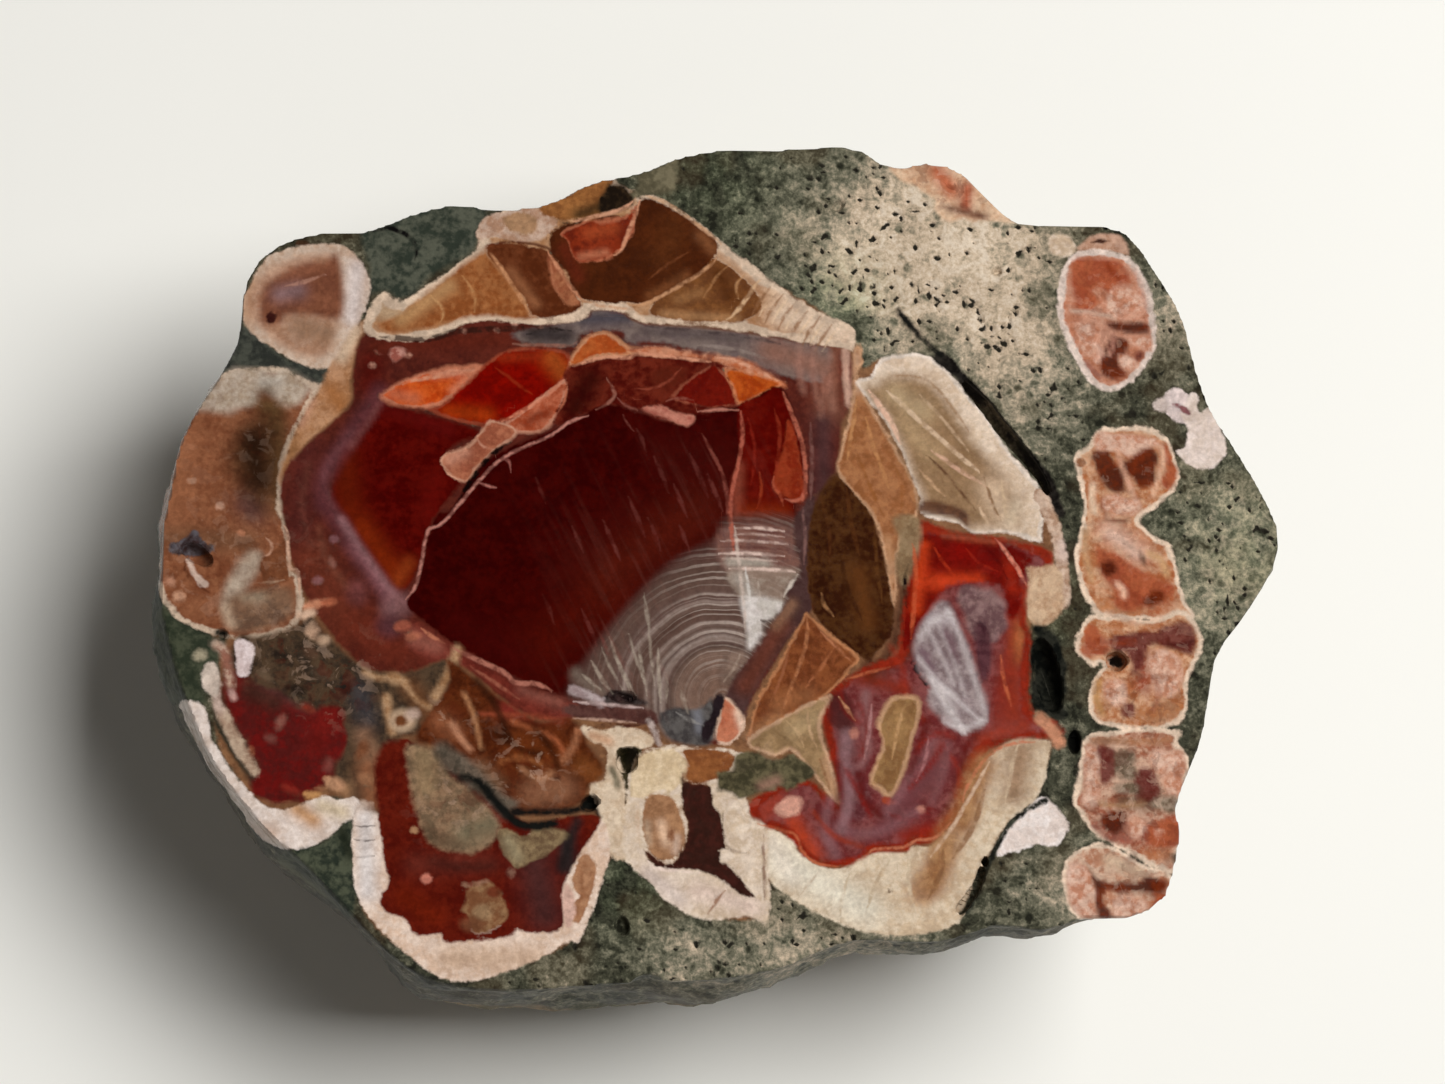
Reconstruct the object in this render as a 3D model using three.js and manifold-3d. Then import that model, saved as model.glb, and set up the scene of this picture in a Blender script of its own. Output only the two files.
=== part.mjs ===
// A half agate nodule: volcanic stone full of agate-filled gas bubbles, cut flat and polished.
// Millimetres, +Z up. The stone lies on its rounded underside with the cut face on top.
// X runs along the cut face's length, and the origin is under the middle of the stone.

import * as THREE from 'three';
import { mergeVertices } from 'three/addons/utils/BufferGeometryUtils.js';
import Module from 'manifold-3d';

// Driving dimensions
const faceHeight = 28;
const middle = { x: 0.42, y: 1.83 };        // from the outline's zero to the middle of the stone
const wallSegments = 144;
const wallRings = 24;
const lumpFadeDepth = 2.5;                  // the side's lumps fade out this near the cut and the underside
const broadLump = { size: 10, height: 1.1 };
const smallLump = { size: 4.4, height: 0.6 };
const stoneColour = 0x6a4436;
const polishRoughness = 0.25;

// The edge of the cut face, clockwise seen from above, from the stone's left end.
const faceOutline = [
  [-38.9, 0.8], [-38.9, 3.2], [-38.4, 6.0], [-37.8, 9.4], [-36.5, 12.1], [-34.9, 14.7], [-33.8, 17.2],
  [-33.7, 20.0], [-33.0, 22.3], [-31.2, 24.1], [-28.1, 25.1], [-25.0, 25.3], [-21.6, 26.7], [-18.6, 27.5],
  [-16.2, 27.2], [-12.0, 27.7], [-8.8, 29.4], [-5.4, 30.2], [-3.0, 31.3], [0.1, 32.1], [5.0, 32.3],
  [10.3, 32.5], [12.8, 31.1], [15.7, 31.6], [18.1, 30.8], [20.0, 28.8], [21.8, 27.3], [25.5, 27.1],
  [28.9, 27.1], [30.2, 26.4], [31.9, 23.9], [33.8, 20.6], [34.7, 17.0], [35.8, 13.6], [37.7, 10.5],
  [39.6, 7.1], [40.5, 4.8], [40.4, 2.9], [39.2, 0.4], [37.5, -2.2], [35.9, -4.4], [35.2, -7.6],
  [34.7, -10.4], [34.1, -12.0], [33.3, -13.8], [32.7, -15.7], [33.1, -17.8], [32.6, -19.6], [32.2, -21.5],
  [30.9, -22.9], [28.8, -23.6], [26.4, -23.5], [24.6, -24.1], [22.6, -24.5], [20.2, -24.1], [18.4, -24.7],
  [16.0, -25.4], [13.0, -25.5], [10.8, -25.3], [8.0, -26.0], [5.2, -27.3], [1.8, -28.1], [-1.7, -28.5],
  [-5.5, -28.7], [-9.5, -29.0], [-13.5, -29.3], [-17.2, -29.2], [-20.2, -28.4], [-22.6, -26.8],
  [-24.6, -24.8],
  [-26.6, -22.8], [-28.6, -20.6], [-30.8, -18.8], [-32.6, -16.8], [-34.2, -14.8], [-35.6, -12.6],
  [-36.6, -10.2], [-37.6, -7.6], [-38.4, -4.8], [-39.0, -1.6],
];

// The side in section: how far it stands inside the cut's edge at each depth below the cut.
// It bellies out first, then turns under to a flat patch that the stone rests on.
const sideSection = [
  [0, 0], [1.5, -0.3], [5, -0.25], [10, 0.7], [15, 2.6], [19.5, 5.3], [23.5, 9.0], [26.3, 12.8], [28, 17.5],
];
const sectionReach = 33;                    // the radius that the section's insets are measured on
const farSideBelly = 0.35;                  // the back and the ends belly out less than the front

// Filled bubbles swell the side where they reach it, and empty ones leave a bowl in it:
// place, reach, and how far the swelling stands out (or the bowl goes in, below zero).
const bubbles = [
  { at: [-30, 22, 20], reach: 8.0, height: 1.5 },
  { at: [-38, 6, 15], reach: 8.0, height: 0.7 },
  { at: [-33, -13, 16], reach: 8.0, height: 0.7 },
  { at: [-17, -28, 15], reach: 9.0, height: 0.9 },
  { at: [1, -27, 12], reach: 6.5, height: 0.9 },
  { at: [32.5, -21.5, 21], reach: 6.0, height: 1.3 },
  { at: [34.5, -9, 16], reach: 6.0, height: 1.3 },
  { at: [16, 30, 21], reach: 6.0, height: 1.2 },
  { at: [36, 6, 13], reach: 7.0, height: 1.5 },
  { at: [-7, 27, 12], reach: 8.0, height: 1.6 },
  { at: [27, 23, 13], reach: 6.5, height: 1.4 },
  { at: [12, -20, 6], reach: 7.0, height: 1.6 },
  { at: [-22, 16, 6], reach: 7.5, height: 1.5 },
  { at: [-27, -8, 5], reach: 6.5, height: 1.3 },
  { at: [19, 13, 3], reach: 7.0, height: 1.3 },
  { at: [-36, -3, 12], reach: 3.4, height: -1.2 },
  { at: [9, -28, 19], reach: 3.0, height: -1.1 },
  { at: [39, 0, 20], reach: 3.0, height: -1.0 },
  { at: [-16, 27, 18], reach: 3.6, height: -1.3 },
  { at: [21, -19, 9], reach: 3.4, height: -1.2 },
];

// Places where the rough stone has broken away flat, as the outward direction and distance of the break.
const breaks = [
  { towards: [-0.45, -0.72, -0.53], distance: 29.0 },
  { towards: [0.78, -0.50, -0.38], distance: 28.6 },
  { towards: [0.52, 0.68, -0.52], distance: 24.6 },
  { towards: [-0.70, 0.55, -0.46], distance: 26.5 },
  { towards: [0.10, -0.80, -0.59], distance: 24.8 },
];
const breakKeep = 0.3;                      // how much of the lump is left standing at a break

// Small open hollows in the cut face: middle, half widths, depth and turn in degrees.
const hollows = [
  { at: [28.7, -5.05], half: [0.8, 0.7], depth: 1.6, turn: 0 },
  { at: [-36.5, 1.3], half: [1.3, 0.6], depth: 1.2, turn: -30 },
  { at: [-8.7, -16.0], half: [0.7, 0.55], depth: 1.2, turn: 30 },
  { at: [-6.4, -8.4], half: [1.5, 0.38], depth: 0.8, turn: -8 },
  { at: [-6.1, -12.9], half: [0.75, 1.0], depth: 1.6, turn: -18 },
  { at: [23.7, -6.2], half: [0.95, 2.9], depth: 1.7, turn: 12 },
  { at: [25.6, -11.0], half: [0.45, 1.0], depth: 1.4, turn: 0 },
  { at: [-6.4, -24.7], half: [0.5, 0.8], depth: 1.1, turn: 8 },
  { at: [-4.7, -28.9], half: [1.3, 0.8], depth: 1.3, turn: 10 },
  { at: [-34.7, -4.5], half: [0.5, 0.4], depth: 0.9, turn: 0 },
  { at: [9.0, 28.2], half: [0.6, 0.4], depth: 0.8, turn: 40 },
  { at: [20.5, 23.6], half: [0.5, 0.35], depth: 0.7, turn: 20 },
];

// Open cracks in the cut face: points of the middle line with the crack's width there.
const cracks = [
  {
    depth: 2.4,
    line: [
      [16.4, 16.5, 0.15], [18.0, 15.2, 0.5], [19.5, 13.5, 0.9], [21.0, 11.5, 1.0], [22.5, 9.7, 0.8],
      [23.5, 8.2, 0.6], [24.8, 5.5, 0.2],
    ],
  },
  {
    depth: 1.6,
    line: [
      [22.9, -15.2, 0.15], [20.9, -16.8, 0.35], [19.3, -19.3, 0.45], [18.5, -21.6, 0.6], [17.5, -23.0, 0.7],
      [16.9, -23.9, 0.2],
    ],
  },
  {
    depth: 1.2,
    line: [[-6.2, -13.6, 0.4], [-6.1, -15.2, 0.3], [-6.1, -17.0, 0.12]],
  },
];

const smooth = (low, high, value) => THREE.MathUtils.smoothstep(value, low, high);

// A fixed value between -1 and 1 for each point of a whole-number lattice
function latticeValue(i, j, k) {
  const wave = Math.sin(i * 127.1 + j * 311.7 + k * 74.7) * 43758.5453;
  return 2 * (wave - Math.floor(wave)) - 1;
}

// Smooth lumps: the lattice's values blended between its points
function lumps(point, size) {
  const cell = point.clone().divideScalar(size);
  const base = cell.clone().floor();
  const ease = cell.sub(base).toArray().map((part) => smooth(0, 1, part));
  let sum = 0;
  for (const i of [0, 1]) {
    for (const j of [0, 1]) {
      for (const k of [0, 1]) {
        const [u, v, w] = [i, j, k].map((corner, axis) => (corner ? ease[axis] : 1 - ease[axis]));
        sum += u * v * w * latticeValue(base.x + i, base.y + j, base.z + k);
      }
    }
  }
  return sum;
}

// The section as a curve, read by how far round it one is
const sectionPoints = sideSection.map(([depth, inset]) => new THREE.Vector2(depth, inset));
const sectionCurve = new THREE.SplineCurve(sectionPoints);

const halfWayUp = new THREE.Vector3(0, 0, faceHeight / 2);
const lowestShare = 0.5;                    // a lump sinks to half its ring's height at most
const turnDepth = 8;                        // below this depth the lumps stand more and more downward
const turnUnder = 0.9;
const nearSide = { from: -0.3, to: 0.8 };   // the outward direction's share towards -Y, for the belly

// One point of the side: an edge point of the cut, carried down by the share of the way to the underside
function sidePoint(edge, share) {
  const { x: depth, y: inset } = sectionCurve.getPoint(share);
  const outward = new THREE.Vector3(edge.x, edge.y, 0).normalize();
  const front = smooth(nearSide.from, nearSide.to, -outward.y);
  const belly = inset < 0 ? inset * THREE.MathUtils.lerp(farSideBelly, 1, front) : inset;
  const point = new THREE.Vector3(edge.x, edge.y, 0).multiplyScalar(1 - belly / sectionReach);
  point.z = faceHeight - depth;

  const fade = smooth(0, lumpFadeDepth, depth) * smooth(0, lumpFadeDepth, faceHeight - depth);
  let push = broadLump.height * lumps(point, broadLump.size);
  push += smallLump.height * lumps(point, smallLump.size);
  for (const { at, reach, height } of bubbles) {
    const away = point.distanceTo(new THREE.Vector3(...at)) / reach;
    push += height * Math.sqrt(Math.max(1 - away * away, 0));
  }
  const direction = outward.clone().setZ(-turnUnder * smooth(turnDepth, faceHeight, depth)).normalize();
  point.addScaledVector(direction, push * fade);

  for (const { towards, distance } of breaks) {
    const normal = new THREE.Vector3(...towards).normalize();
    const above = point.clone().sub(halfWayUp).dot(normal) - distance;
    if (above > 0) {
      point.addScaledVector(normal, -above * (1 - breakKeep) * fade);
    }
  }
  point.z = Math.max(point.z, lowestShare * (faceHeight - depth));
  return point;
}

// The whole stone before its hollows: rings from the cut's edge down to the resting patch, with a cap on each
function stoneGeometry() {
  const corners = faceOutline.map(([x, y]) => new THREE.Vector3(x - middle.x, y - middle.y, 0)).reverse();
  const edgeCurve = new THREE.CatmullRomCurve3(corners, true, 'centripetal');
  const edge = edgeCurve.getSpacedPoints(wallSegments).slice(0, -1);
  const rings = [];
  for (let ring = 0; ring <= wallRings; ring += 1) {
    rings.push(edge.map((point) => sidePoint(point, ring / wallRings)));
  }
  const positions = rings.flat().flatMap((point) => point.toArray());
  const index = [];
  for (let ring = 0; ring < wallRings; ring += 1) {
    for (let i = 0; i < wallSegments; i += 1) {
      const next = (i + 1) % wallSegments;
      const [a, b] = [ring * wallSegments + i, ring * wallSegments + next];
      const [c, d] = [a + wallSegments, b + wallSegments];
      index.push(a, c, b, b, c, d);
    }
  }
  const flat = ({ x, y }) => new THREE.Vector2(x, y);
  const capOf = (ring) => THREE.ShapeUtils.triangulateShape(rings[ring].map(flat), []);
  capOf(0).forEach(([a, b, c]) => index.push(a, b, c));
  const last = wallRings * wallSegments;
  capOf(wallRings).forEach(([a, b, c]) => index.push(last + a, last + c, last + b));
  const geometry = new THREE.BufferGeometry();
  geometry.setAttribute('position', new THREE.Float32BufferAttribute(positions, 3));
  geometry.setIndex(index);
  return geometry;
}

// A hollow's tool: a flattened ball centred on the cut face
function hollowGeometry({ at, half, depth, turn }) {
  const ball = new THREE.IcosahedronGeometry(1, 2);
  ball.scale(half[0], half[1], depth);
  ball.rotateZ(THREE.MathUtils.degToRad(turn));
  ball.translate(at[0] - middle.x, at[1] - middle.y, faceHeight);
  return ball;
}

// A crack's tool: its two edges stand half a width to each side of the middle line
function crackGeometry({ depth, line }) {
  const overCut = 1;
  const points = line.map(([x, y]) => new THREE.Vector2(x - middle.x, y - middle.y));
  const side = (sign) => points.map((point, i) => {
    const before = points[Math.max(i - 1, 0)];
    const after = points[Math.min(i + 1, points.length - 1)];
    const along = after.clone().sub(before).normalize();
    return new THREE.Vector2(-along.y, along.x).multiplyScalar(sign * line[i][2] / 2).add(point);
  });
  const shape = new THREE.Shape([...side(1), ...side(-1).reverse()]);
  const crack = new THREE.ExtrudeGeometry(shape, { depth: depth + overCut, bevelEnabled: false });
  crack.translate(0, 0, faceHeight - depth);
  return crack;
}

const wasm = await Module();
wasm.setup();

function solidFrom(geometry) {
  geometry.deleteAttribute('normal');
  geometry.deleteAttribute('uv');
  const merged = mergeVertices(geometry, 1e-4);
  return new wasm.Manifold(new wasm.Mesh({
    numProp: 3,
    vertProperties: new Float32Array(merged.attributes.position.array),
    triVerts: new Uint32Array(merged.index.array),
  }));
}

function geometryFrom(solid) {
  const { numProp, vertProperties, triVerts } = solid.getMesh();
  const geometry = new THREE.BufferGeometry();
  const positions = [];
  for (let i = 0; i < vertProperties.length; i += numProp) {
    positions.push(...vertProperties.slice(i, i + 3));
  }
  geometry.setAttribute('position', new THREE.Float32BufferAttribute(positions, 3));
  geometry.setIndex([...triVerts]);
  geometry.computeVertexNormals();
  return geometry;
}

let stone = solidFrom(stoneGeometry());
for (const hollow of hollows) {
  stone = stone.subtract(solidFrom(hollowGeometry(hollow)));
}
for (const crack of cracks) {
  stone = stone.subtract(solidFrom(crackGeometry(crack)));
}

const material = new THREE.MeshStandardMaterial({
  color: stoneColour,
  roughness: polishRoughness,
  metalness: 0,
});
const nodule = new THREE.Mesh(geometryFrom(stone), material);
nodule.name = 'agate_nodule';

const group = new THREE.Group();
group.add(nodule);

export default group;
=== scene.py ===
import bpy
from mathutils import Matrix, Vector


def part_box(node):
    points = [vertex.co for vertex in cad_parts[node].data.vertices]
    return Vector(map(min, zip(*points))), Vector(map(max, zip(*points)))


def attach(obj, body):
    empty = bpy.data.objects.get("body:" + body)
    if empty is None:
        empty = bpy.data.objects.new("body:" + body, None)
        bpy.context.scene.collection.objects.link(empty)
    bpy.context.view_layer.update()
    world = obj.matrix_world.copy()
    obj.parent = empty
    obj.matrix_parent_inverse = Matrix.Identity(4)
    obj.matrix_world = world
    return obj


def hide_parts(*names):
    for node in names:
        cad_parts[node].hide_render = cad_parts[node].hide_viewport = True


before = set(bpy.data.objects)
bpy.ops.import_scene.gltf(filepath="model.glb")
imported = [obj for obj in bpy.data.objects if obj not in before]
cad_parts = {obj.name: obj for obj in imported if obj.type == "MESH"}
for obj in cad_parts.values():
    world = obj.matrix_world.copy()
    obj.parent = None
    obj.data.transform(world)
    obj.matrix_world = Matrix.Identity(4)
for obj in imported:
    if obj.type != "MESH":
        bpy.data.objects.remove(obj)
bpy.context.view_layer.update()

import bpy
import numpy as np
from mathutils import Matrix, Vector

# The upper half of a cut agate nodule, lying on its rounded underside with the polished cut on top.
# Shapes on the cut are drawn in tenths of a millimetre, from a zero a little off its middle.
# All other lengths are in mm unless a note says m.
millimetre = 0.001
boxLow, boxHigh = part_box("agate_nodule")
faceHeight = boxHigh.z / millimetre


# Camera, light and floor
studio = {
    "drawnZero": (0.42, 1.83),       # place of the stone's middle on the drawing
    "lookAt": (0.6, 3.0),            # place on the drawing that is in the middle of the picture
    "lookBack": (-0.09, -0.25, 1.0),
    "distance": 420.0,
    "pixelsPerMm": 14.1,
    "pictureWidth": 1445,
    "sensor": 36.0,
    "floorSize": 2.4,                # m
    "floorColour": "#eeeeea",
    "floorRoughness": 0.9,
    "worldColour": (1.0, 0.95, 0.9),
    "worldStrength": 0.038,
    "lamps": [
        # name, direction from the stone, distance and size in m, watts, colour
        ("window", (0.38, 0.09, 0.92), 0.62, 0.34, 4.85, (1.0, 0.985, 0.96)),
        ("reflector", (-0.3, -0.8, 0.5), 0.8, 0.7, 0.5, (1.0, 0.97, 0.93)),
    ],
}


def linear(colour):
    # a colour such as "#c8a080", made linear
    values = np.array([int(colour[start:start + 2], 16) for start in (1, 3, 5)]) / 255
    return np.where(values <= 0.04045, values / 12.92, ((values + 0.055) / 1.055) ** 2.4)


def pointAt(item, back):
    # turns a lamp or the camera so that it looks along -back, its top towards +Y
    back = Vector(back).normalized()
    right = Vector((0, 1, 0)).cross(back).normalized()
    up = back.cross(right)
    place = item.matrix_world.translation.copy()
    item.matrix_world = Matrix.Translation(place) @ Matrix((right, up, back)).transposed().to_4x4()


def makeCamera():
    data = bpy.data.cameras.new("viewCamera")
    data.sensor_width = studio["sensor"]
    data.lens = studio["distance"] * studio["pixelsPerMm"] / studio["pictureWidth"] * studio["sensor"]
    camera = bpy.data.objects.new("viewCamera", data)
    bpy.context.scene.collection.objects.link(camera)
    zero = studio["drawnZero"]
    target = Vector((studio["lookAt"][0] - zero[0], studio["lookAt"][1] - zero[1], faceHeight))
    back = Vector(studio["lookBack"]).normalized()
    camera.location = (target + back * studio["distance"]) * millimetre
    bpy.context.view_layer.update()
    pointAt(camera, back)
    bpy.context.scene.camera = camera


def makeLamps():
    for name, direction, distance, size, watts, colour in studio["lamps"]:
        data = bpy.data.lights.new(name, "AREA")
        data.shape = "SQUARE"
        data.size = size
        data.energy = watts
        data.color = colour
        lamp = bpy.data.objects.new(name, data)
        lamp.visible_glossy = name != "window"
        bpy.context.scene.collection.objects.link(lamp)
        lamp.location = Vector(direction).normalized() * distance + Vector((0, 0, boxHigh.z))
        bpy.context.view_layer.update()
        pointAt(lamp, direction)
    world = bpy.data.worlds.new("studio")
    world.use_nodes = True
    background = world.node_tree.nodes["Background"]
    background.inputs["Color"].default_value = (*studio["worldColour"], 1)
    background.inputs["Strength"].default_value = studio["worldStrength"]
    bpy.context.scene.world = world
    bpy.context.scene.view_settings.view_transform = "Standard"


def makeFloor():
    bpy.ops.object.select_all(action="DESELECT")
    bpy.ops.mesh.primitive_plane_add(size=studio["floorSize"], location=(0, 0, boxLow.z))
    floor = bpy.context.object
    floor.name = "floor"
    paper = bpy.data.materials.new("palePaper")
    paper.use_nodes = True
    shader = paper.node_tree.nodes["Principled BSDF"]
    shader.inputs["Base Color"].default_value = (*linear(studio["floorColour"]), 1)
    shader.inputs["Roughness"].default_value = studio["floorRoughness"]
    floor.data.materials.append(paper)


makeCamera()
makeLamps()
makeFloor()
print("camera, lamps and floor are set")


# The stone's mesh
stone = {
    "mergeWithin": 0.00001,          # m
    "meshSize": 0.00025,             # m between the points of the cut face
    "rindShare": 0.40,               # share of the faces left when the rind is thinned
    "rindStart": 0.35,               # depth below the cut where the rind's own roughness starts
    "rindFull": 1.6,                 # and where it is whole
    "rindSteps": 10,
    # size in m and strength in m of each roughness, and how much of it goes inward
    "roughness": [(0.0042, 0.0007, 0.75), (0.0017, 0.00038, 0.7), (0.0008, 0.0002, 0.65)],
    "pores": 420,
    "poreSizes": (0.05, 0.21),
    "poreStretch": (0.7, 1.4),
    "poreDepth": 0.35,
    "poreLip": (0.15, -0.25),        # distance from a pore's edge where it starts and is whole
    "poreClear": 0.35,               # distance of pores from the patches
    "poreReach": 2.0,                # around a pore, where its distance is worked out
    "poreClusters": (2.6, 23),       # size and seed of the clusters that they lie in
    "poreOdds": (0.12, 0.2, 2.4),    # anywhere, more on pale ground, and more in its clusters
    "facePitting": [(0.10, 0.7, 21), (0.06, 0.35, 22)],    # depth, size and seed, on stony parts of the cut
    "smoothBelow": 40.0,             # degrees
}


def applyModifier(item, name, kind, **settings):
    modifier = item.modifiers.new(name, kind)
    for key, value in settings.items():
        setattr(modifier, key, value)
    bpy.ops.object.modifier_apply(modifier=name)


def pointsOf(item):
    places = np.empty(len(item.data.vertices) * 3)
    item.data.vertices.foreach_get("co", places)
    return places.reshape(-1, 3)


def weighRind(item):
    # a vertex group that grows from nothing just below the cut
    depth = faceHeight - pointsOf(item)[:, 2] / millimetre
    weight = np.clip((depth - stone["rindStart"]) / (stone["rindFull"] - stone["rindStart"]), 0, 1)
    group = item.vertex_groups.new(name="rind")
    for step in range(1, stone["rindSteps"] + 1):
        members = np.nonzero(np.ceil(weight * stone["rindSteps"]) == step)[0]
        group.add(members.tolist(), step / stone["rindSteps"], "REPLACE")


def makeStone():
    made = bpy.data.objects.new("agateStone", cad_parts["agate_nodule"].data.copy())
    bpy.context.scene.collection.objects.link(made)
    bpy.ops.object.select_all(action="DESELECT")
    made.select_set(True)
    bpy.context.view_layer.objects.active = made
    bpy.ops.object.mode_set(mode="EDIT")
    bpy.ops.mesh.select_all(action="SELECT")
    bpy.ops.mesh.remove_doubles(threshold=stone["mergeWithin"])
    bpy.ops.object.mode_set(mode="OBJECT")
    applyModifier(made, "even", "REMESH", mode="VOXEL", voxel_size=stone["meshSize"])
    weighRind(made)
    for count, (size, strength, inward) in enumerate(stone["roughness"]):
        texture = bpy.data.textures.new(f"rough{count}", "CLOUDS")
        texture.noise_scale = size
        texture.noise_depth = 2
        applyModifier(made, f"rough{count}", "DISPLACE", texture=texture, texture_coords="LOCAL",
                      vertex_group="rind", strength=strength, mid_level=inward)
    applyModifier(made, "thin", "DECIMATE", vertex_group="rind", ratio=stone["rindShare"])
    return made


agate = makeStone()
print("stone mesh:", len(agate.data.vertices), "points")


# Drawing on the stone
# Every point of the mesh has a place on the drawing. Each patch of the drawing is kept as a distance from
# its edge, so that it stays sharp between the points, and goes to the lowest layer above all it touches.
# Places, widths, radii and softness in the calls are in the drawing's own units, tenths of a millimetre.
points = pointsOf(agate) / millimetre
drawn = {
    "perMm": 10,                     # units of the drawing in a millimetre; what follows is in mm
    "depth": 9.5,                    # how far down into the stone the drawing goes
    "beyond": 3.0,                   # and how much further patches are worked out
    "lean": (0.09, 0.25),            # how far bubbles lean away for each mm down
    "closing": 0.045,                # how far their edges draw in for each square mm of depth
    "margin": 1.4,                   # around a patch, where its distance is worked out
    "apart": 0.42,                   # beyond its softness, what a patch needs for itself along its edge
    "clearance": 0.1,
    "tuckedUnder": 0.28,             # how far a patch reaches in under the ones it is cut out of
    "tuckedFrom": 0.5,               # and the depth inside their edge where it does so in full
    "glazeFrom": 0.3,                # softness from which a patch is a glaze over all layers
    "leastGlaze": 0.2,               # least softness of a glaze, and of the change in gloss
    "leastGloss": 0.15,
    "secondShade": 0.72,             # the second colour of a patch where none is given, and of a glow
    "glowShade": 0.8,
    "curveSteps": 5,
    "ovalCorners": 12,
    # noise along edges: least share, share that varies, size of its lumps, seed
    "unevenRim": (0.7, 0.6, 1.6, 5),
    "unevenStroke": (0.75, 0.5, 1.3, 7),
    "raggedEdge": (-1.0, 2.0, 0.9, 3),
    "plainSoft": 0.12,               # softness kept where a layer has nothing
    "veinReach": 0.7,
    "veinTaper": 1.2,                # length over which a vein thins out to its thinnest share
    "veinThinnest": 0.25,
    "noPatch": 9.0,                  # distance kept where a layer or a vein has nothing
    "cutAway": 60.0,                 # and where a patch has been cut out of its layer
    "noVein": -0.5,                  # half width kept where there is no vein
    "veinFrom": -0.4,                # half width from which there is one
}
depths = faceHeight - points[:, 2]
across = points[:, 0] + studio["drawnZero"][0] - drawn["lean"][0] * depths
along = points[:, 1] + studio["drawnZero"][1] - drawn["lean"][1] * depths
closing = drawn["closing"] * np.clip(depths, 0, None) ** 2
shallow = np.nonzero(depths < drawn["depth"] + drawn["beyond"])[0]
pointCount = len(points)
layers = []
veinLayers = []
glossy = np.zeros(pointCount)


def lumps(x, y, size, seed):
    # smooth random values from 0 to 1, with lumps of the given size in mm
    cells = 64
    lattice = np.random.default_rng(seed).random((cells, cells))
    columns, rows = np.floor(x / size).astype(int), np.floor(y / size).astype(int)
    u, v = x / size - columns, y / size - rows
    u, v = u * u * (3 - 2 * u), v * v * (3 - 2 * v)
    column, nextColumn = columns % cells, (columns + 1) % cells
    row, nextRow = rows % cells, (rows + 1) % cells
    left = lattice[column, row] * (1 - v) + lattice[column, nextRow] * v
    right = lattice[nextColumn, row] * (1 - v) + lattice[nextColumn, nextRow] * v
    return left * (1 - u) + right * u


def uneven(kind, where):
    least, varied, size, seed = drawn[kind]
    return least + varied * lumps(across[where], along[where], size, seed)


def curveThrough(outline, closed):
    # a rounded path in mm through given points
    corners = np.array(outline, float) / drawn["perMm"]
    if closed:
        before, after = np.roll(corners, 1, 0), np.roll(corners, -1, 0)
        further = np.roll(corners, -2, 0)
    else:
        before = np.vstack([corners[:1], corners[:-2]])
        after, further = corners[1:], np.vstack([corners[2:], corners[-1:]])
        last, corners = corners[-1:], corners[:-1]
    path = []
    for step in range(drawn["curveSteps"]):
        t = step / drawn["curveSteps"]
        path.append(0.5 * (2 * corners + (after - before) * t
                           + (2 * before - 5 * corners + 4 * after - further) * t ** 2
                           + (3 * corners - before - 3 * after + further) * t ** 3))
    path = np.stack(path, 1).reshape(-1, 2)
    return path if closed else np.vstack([path, last])


def pointsNear(path, margin):
    low, high = path.min(0) - margin, path.max(0) + margin
    x, y = across[shallow], along[shallow]
    return shallow[(x > low[0]) & (x < high[0]) & (y > low[1]) & (y < high[1])]


def pathDistance(path, where, closed):
    # distance from each point to the path, less than zero inside a closed one
    x, y = across[where], along[where]
    nearest = np.full(len(where), np.inf)
    inside = np.zeros(len(where), bool)
    ends = np.roll(path, -1, 0) if closed else path[1:]
    for (ax, ay), (bx, by) in zip(path, ends):
        dx, dy = bx - ax, by - ay
        length = max(dx * dx + dy * dy, 1e-9)
        share = np.clip(((x - ax) * dx + (y - ay) * dy) / length, 0, 1)
        nearest = np.minimum(nearest, (x - ax - share * dx) ** 2 + (y - ay - share * dy) ** 2)
        if closed and ay != by:
            inside ^= ((ay > y) != (by > y)) & (x < ax + dx * (y - ay) / dy)
    nearest = np.sqrt(nearest)
    return np.where(inside, -nearest, nearest)


def fills(chosen, colour, second, glows):
    # the two colours that a patch is mottled with, at each of the chosen points
    first = np.tile(linear(colour), (len(chosen), 1))
    other = np.tile(linear(second), (len(chosen), 1)) if second else first * drawn["secondShade"]
    for x0, y0, x1, y1, radius, glow, amount in glows:
        ends = np.array([(x0, y0), (x1, y1)]) / drawn["perMm"]
        away = pathDistance(ends, chosen, False) / (radius / drawn["perMm"])
        weight = (amount * np.exp(-away ** 2))[:, None]
        first = first * (1 - weight) + linear(glow) * weight
        other = other * (1 - weight) + linear(glow) * drawn["glowShade"] * weight
    return first, other


def glaze(where, distance, first, other, soft, strength, banded):
    # paints over all layers at once, for soft or thin patches
    weight = np.clip(0.5 - distance / (2 * soft), 0, 1)
    weight = (weight * weight * (3 - 2 * weight) * strength)[:, None]
    for layer in layers:
        layer["colour"][where, :3] += (first - layer["colour"][where, :3]) * weight
        layer["second"][where, :3] += (other - layer["second"][where, :3]) * weight
        layer["colour"][where, 3:] += (banded - layer["colour"][where, 3:]) * weight


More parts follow.
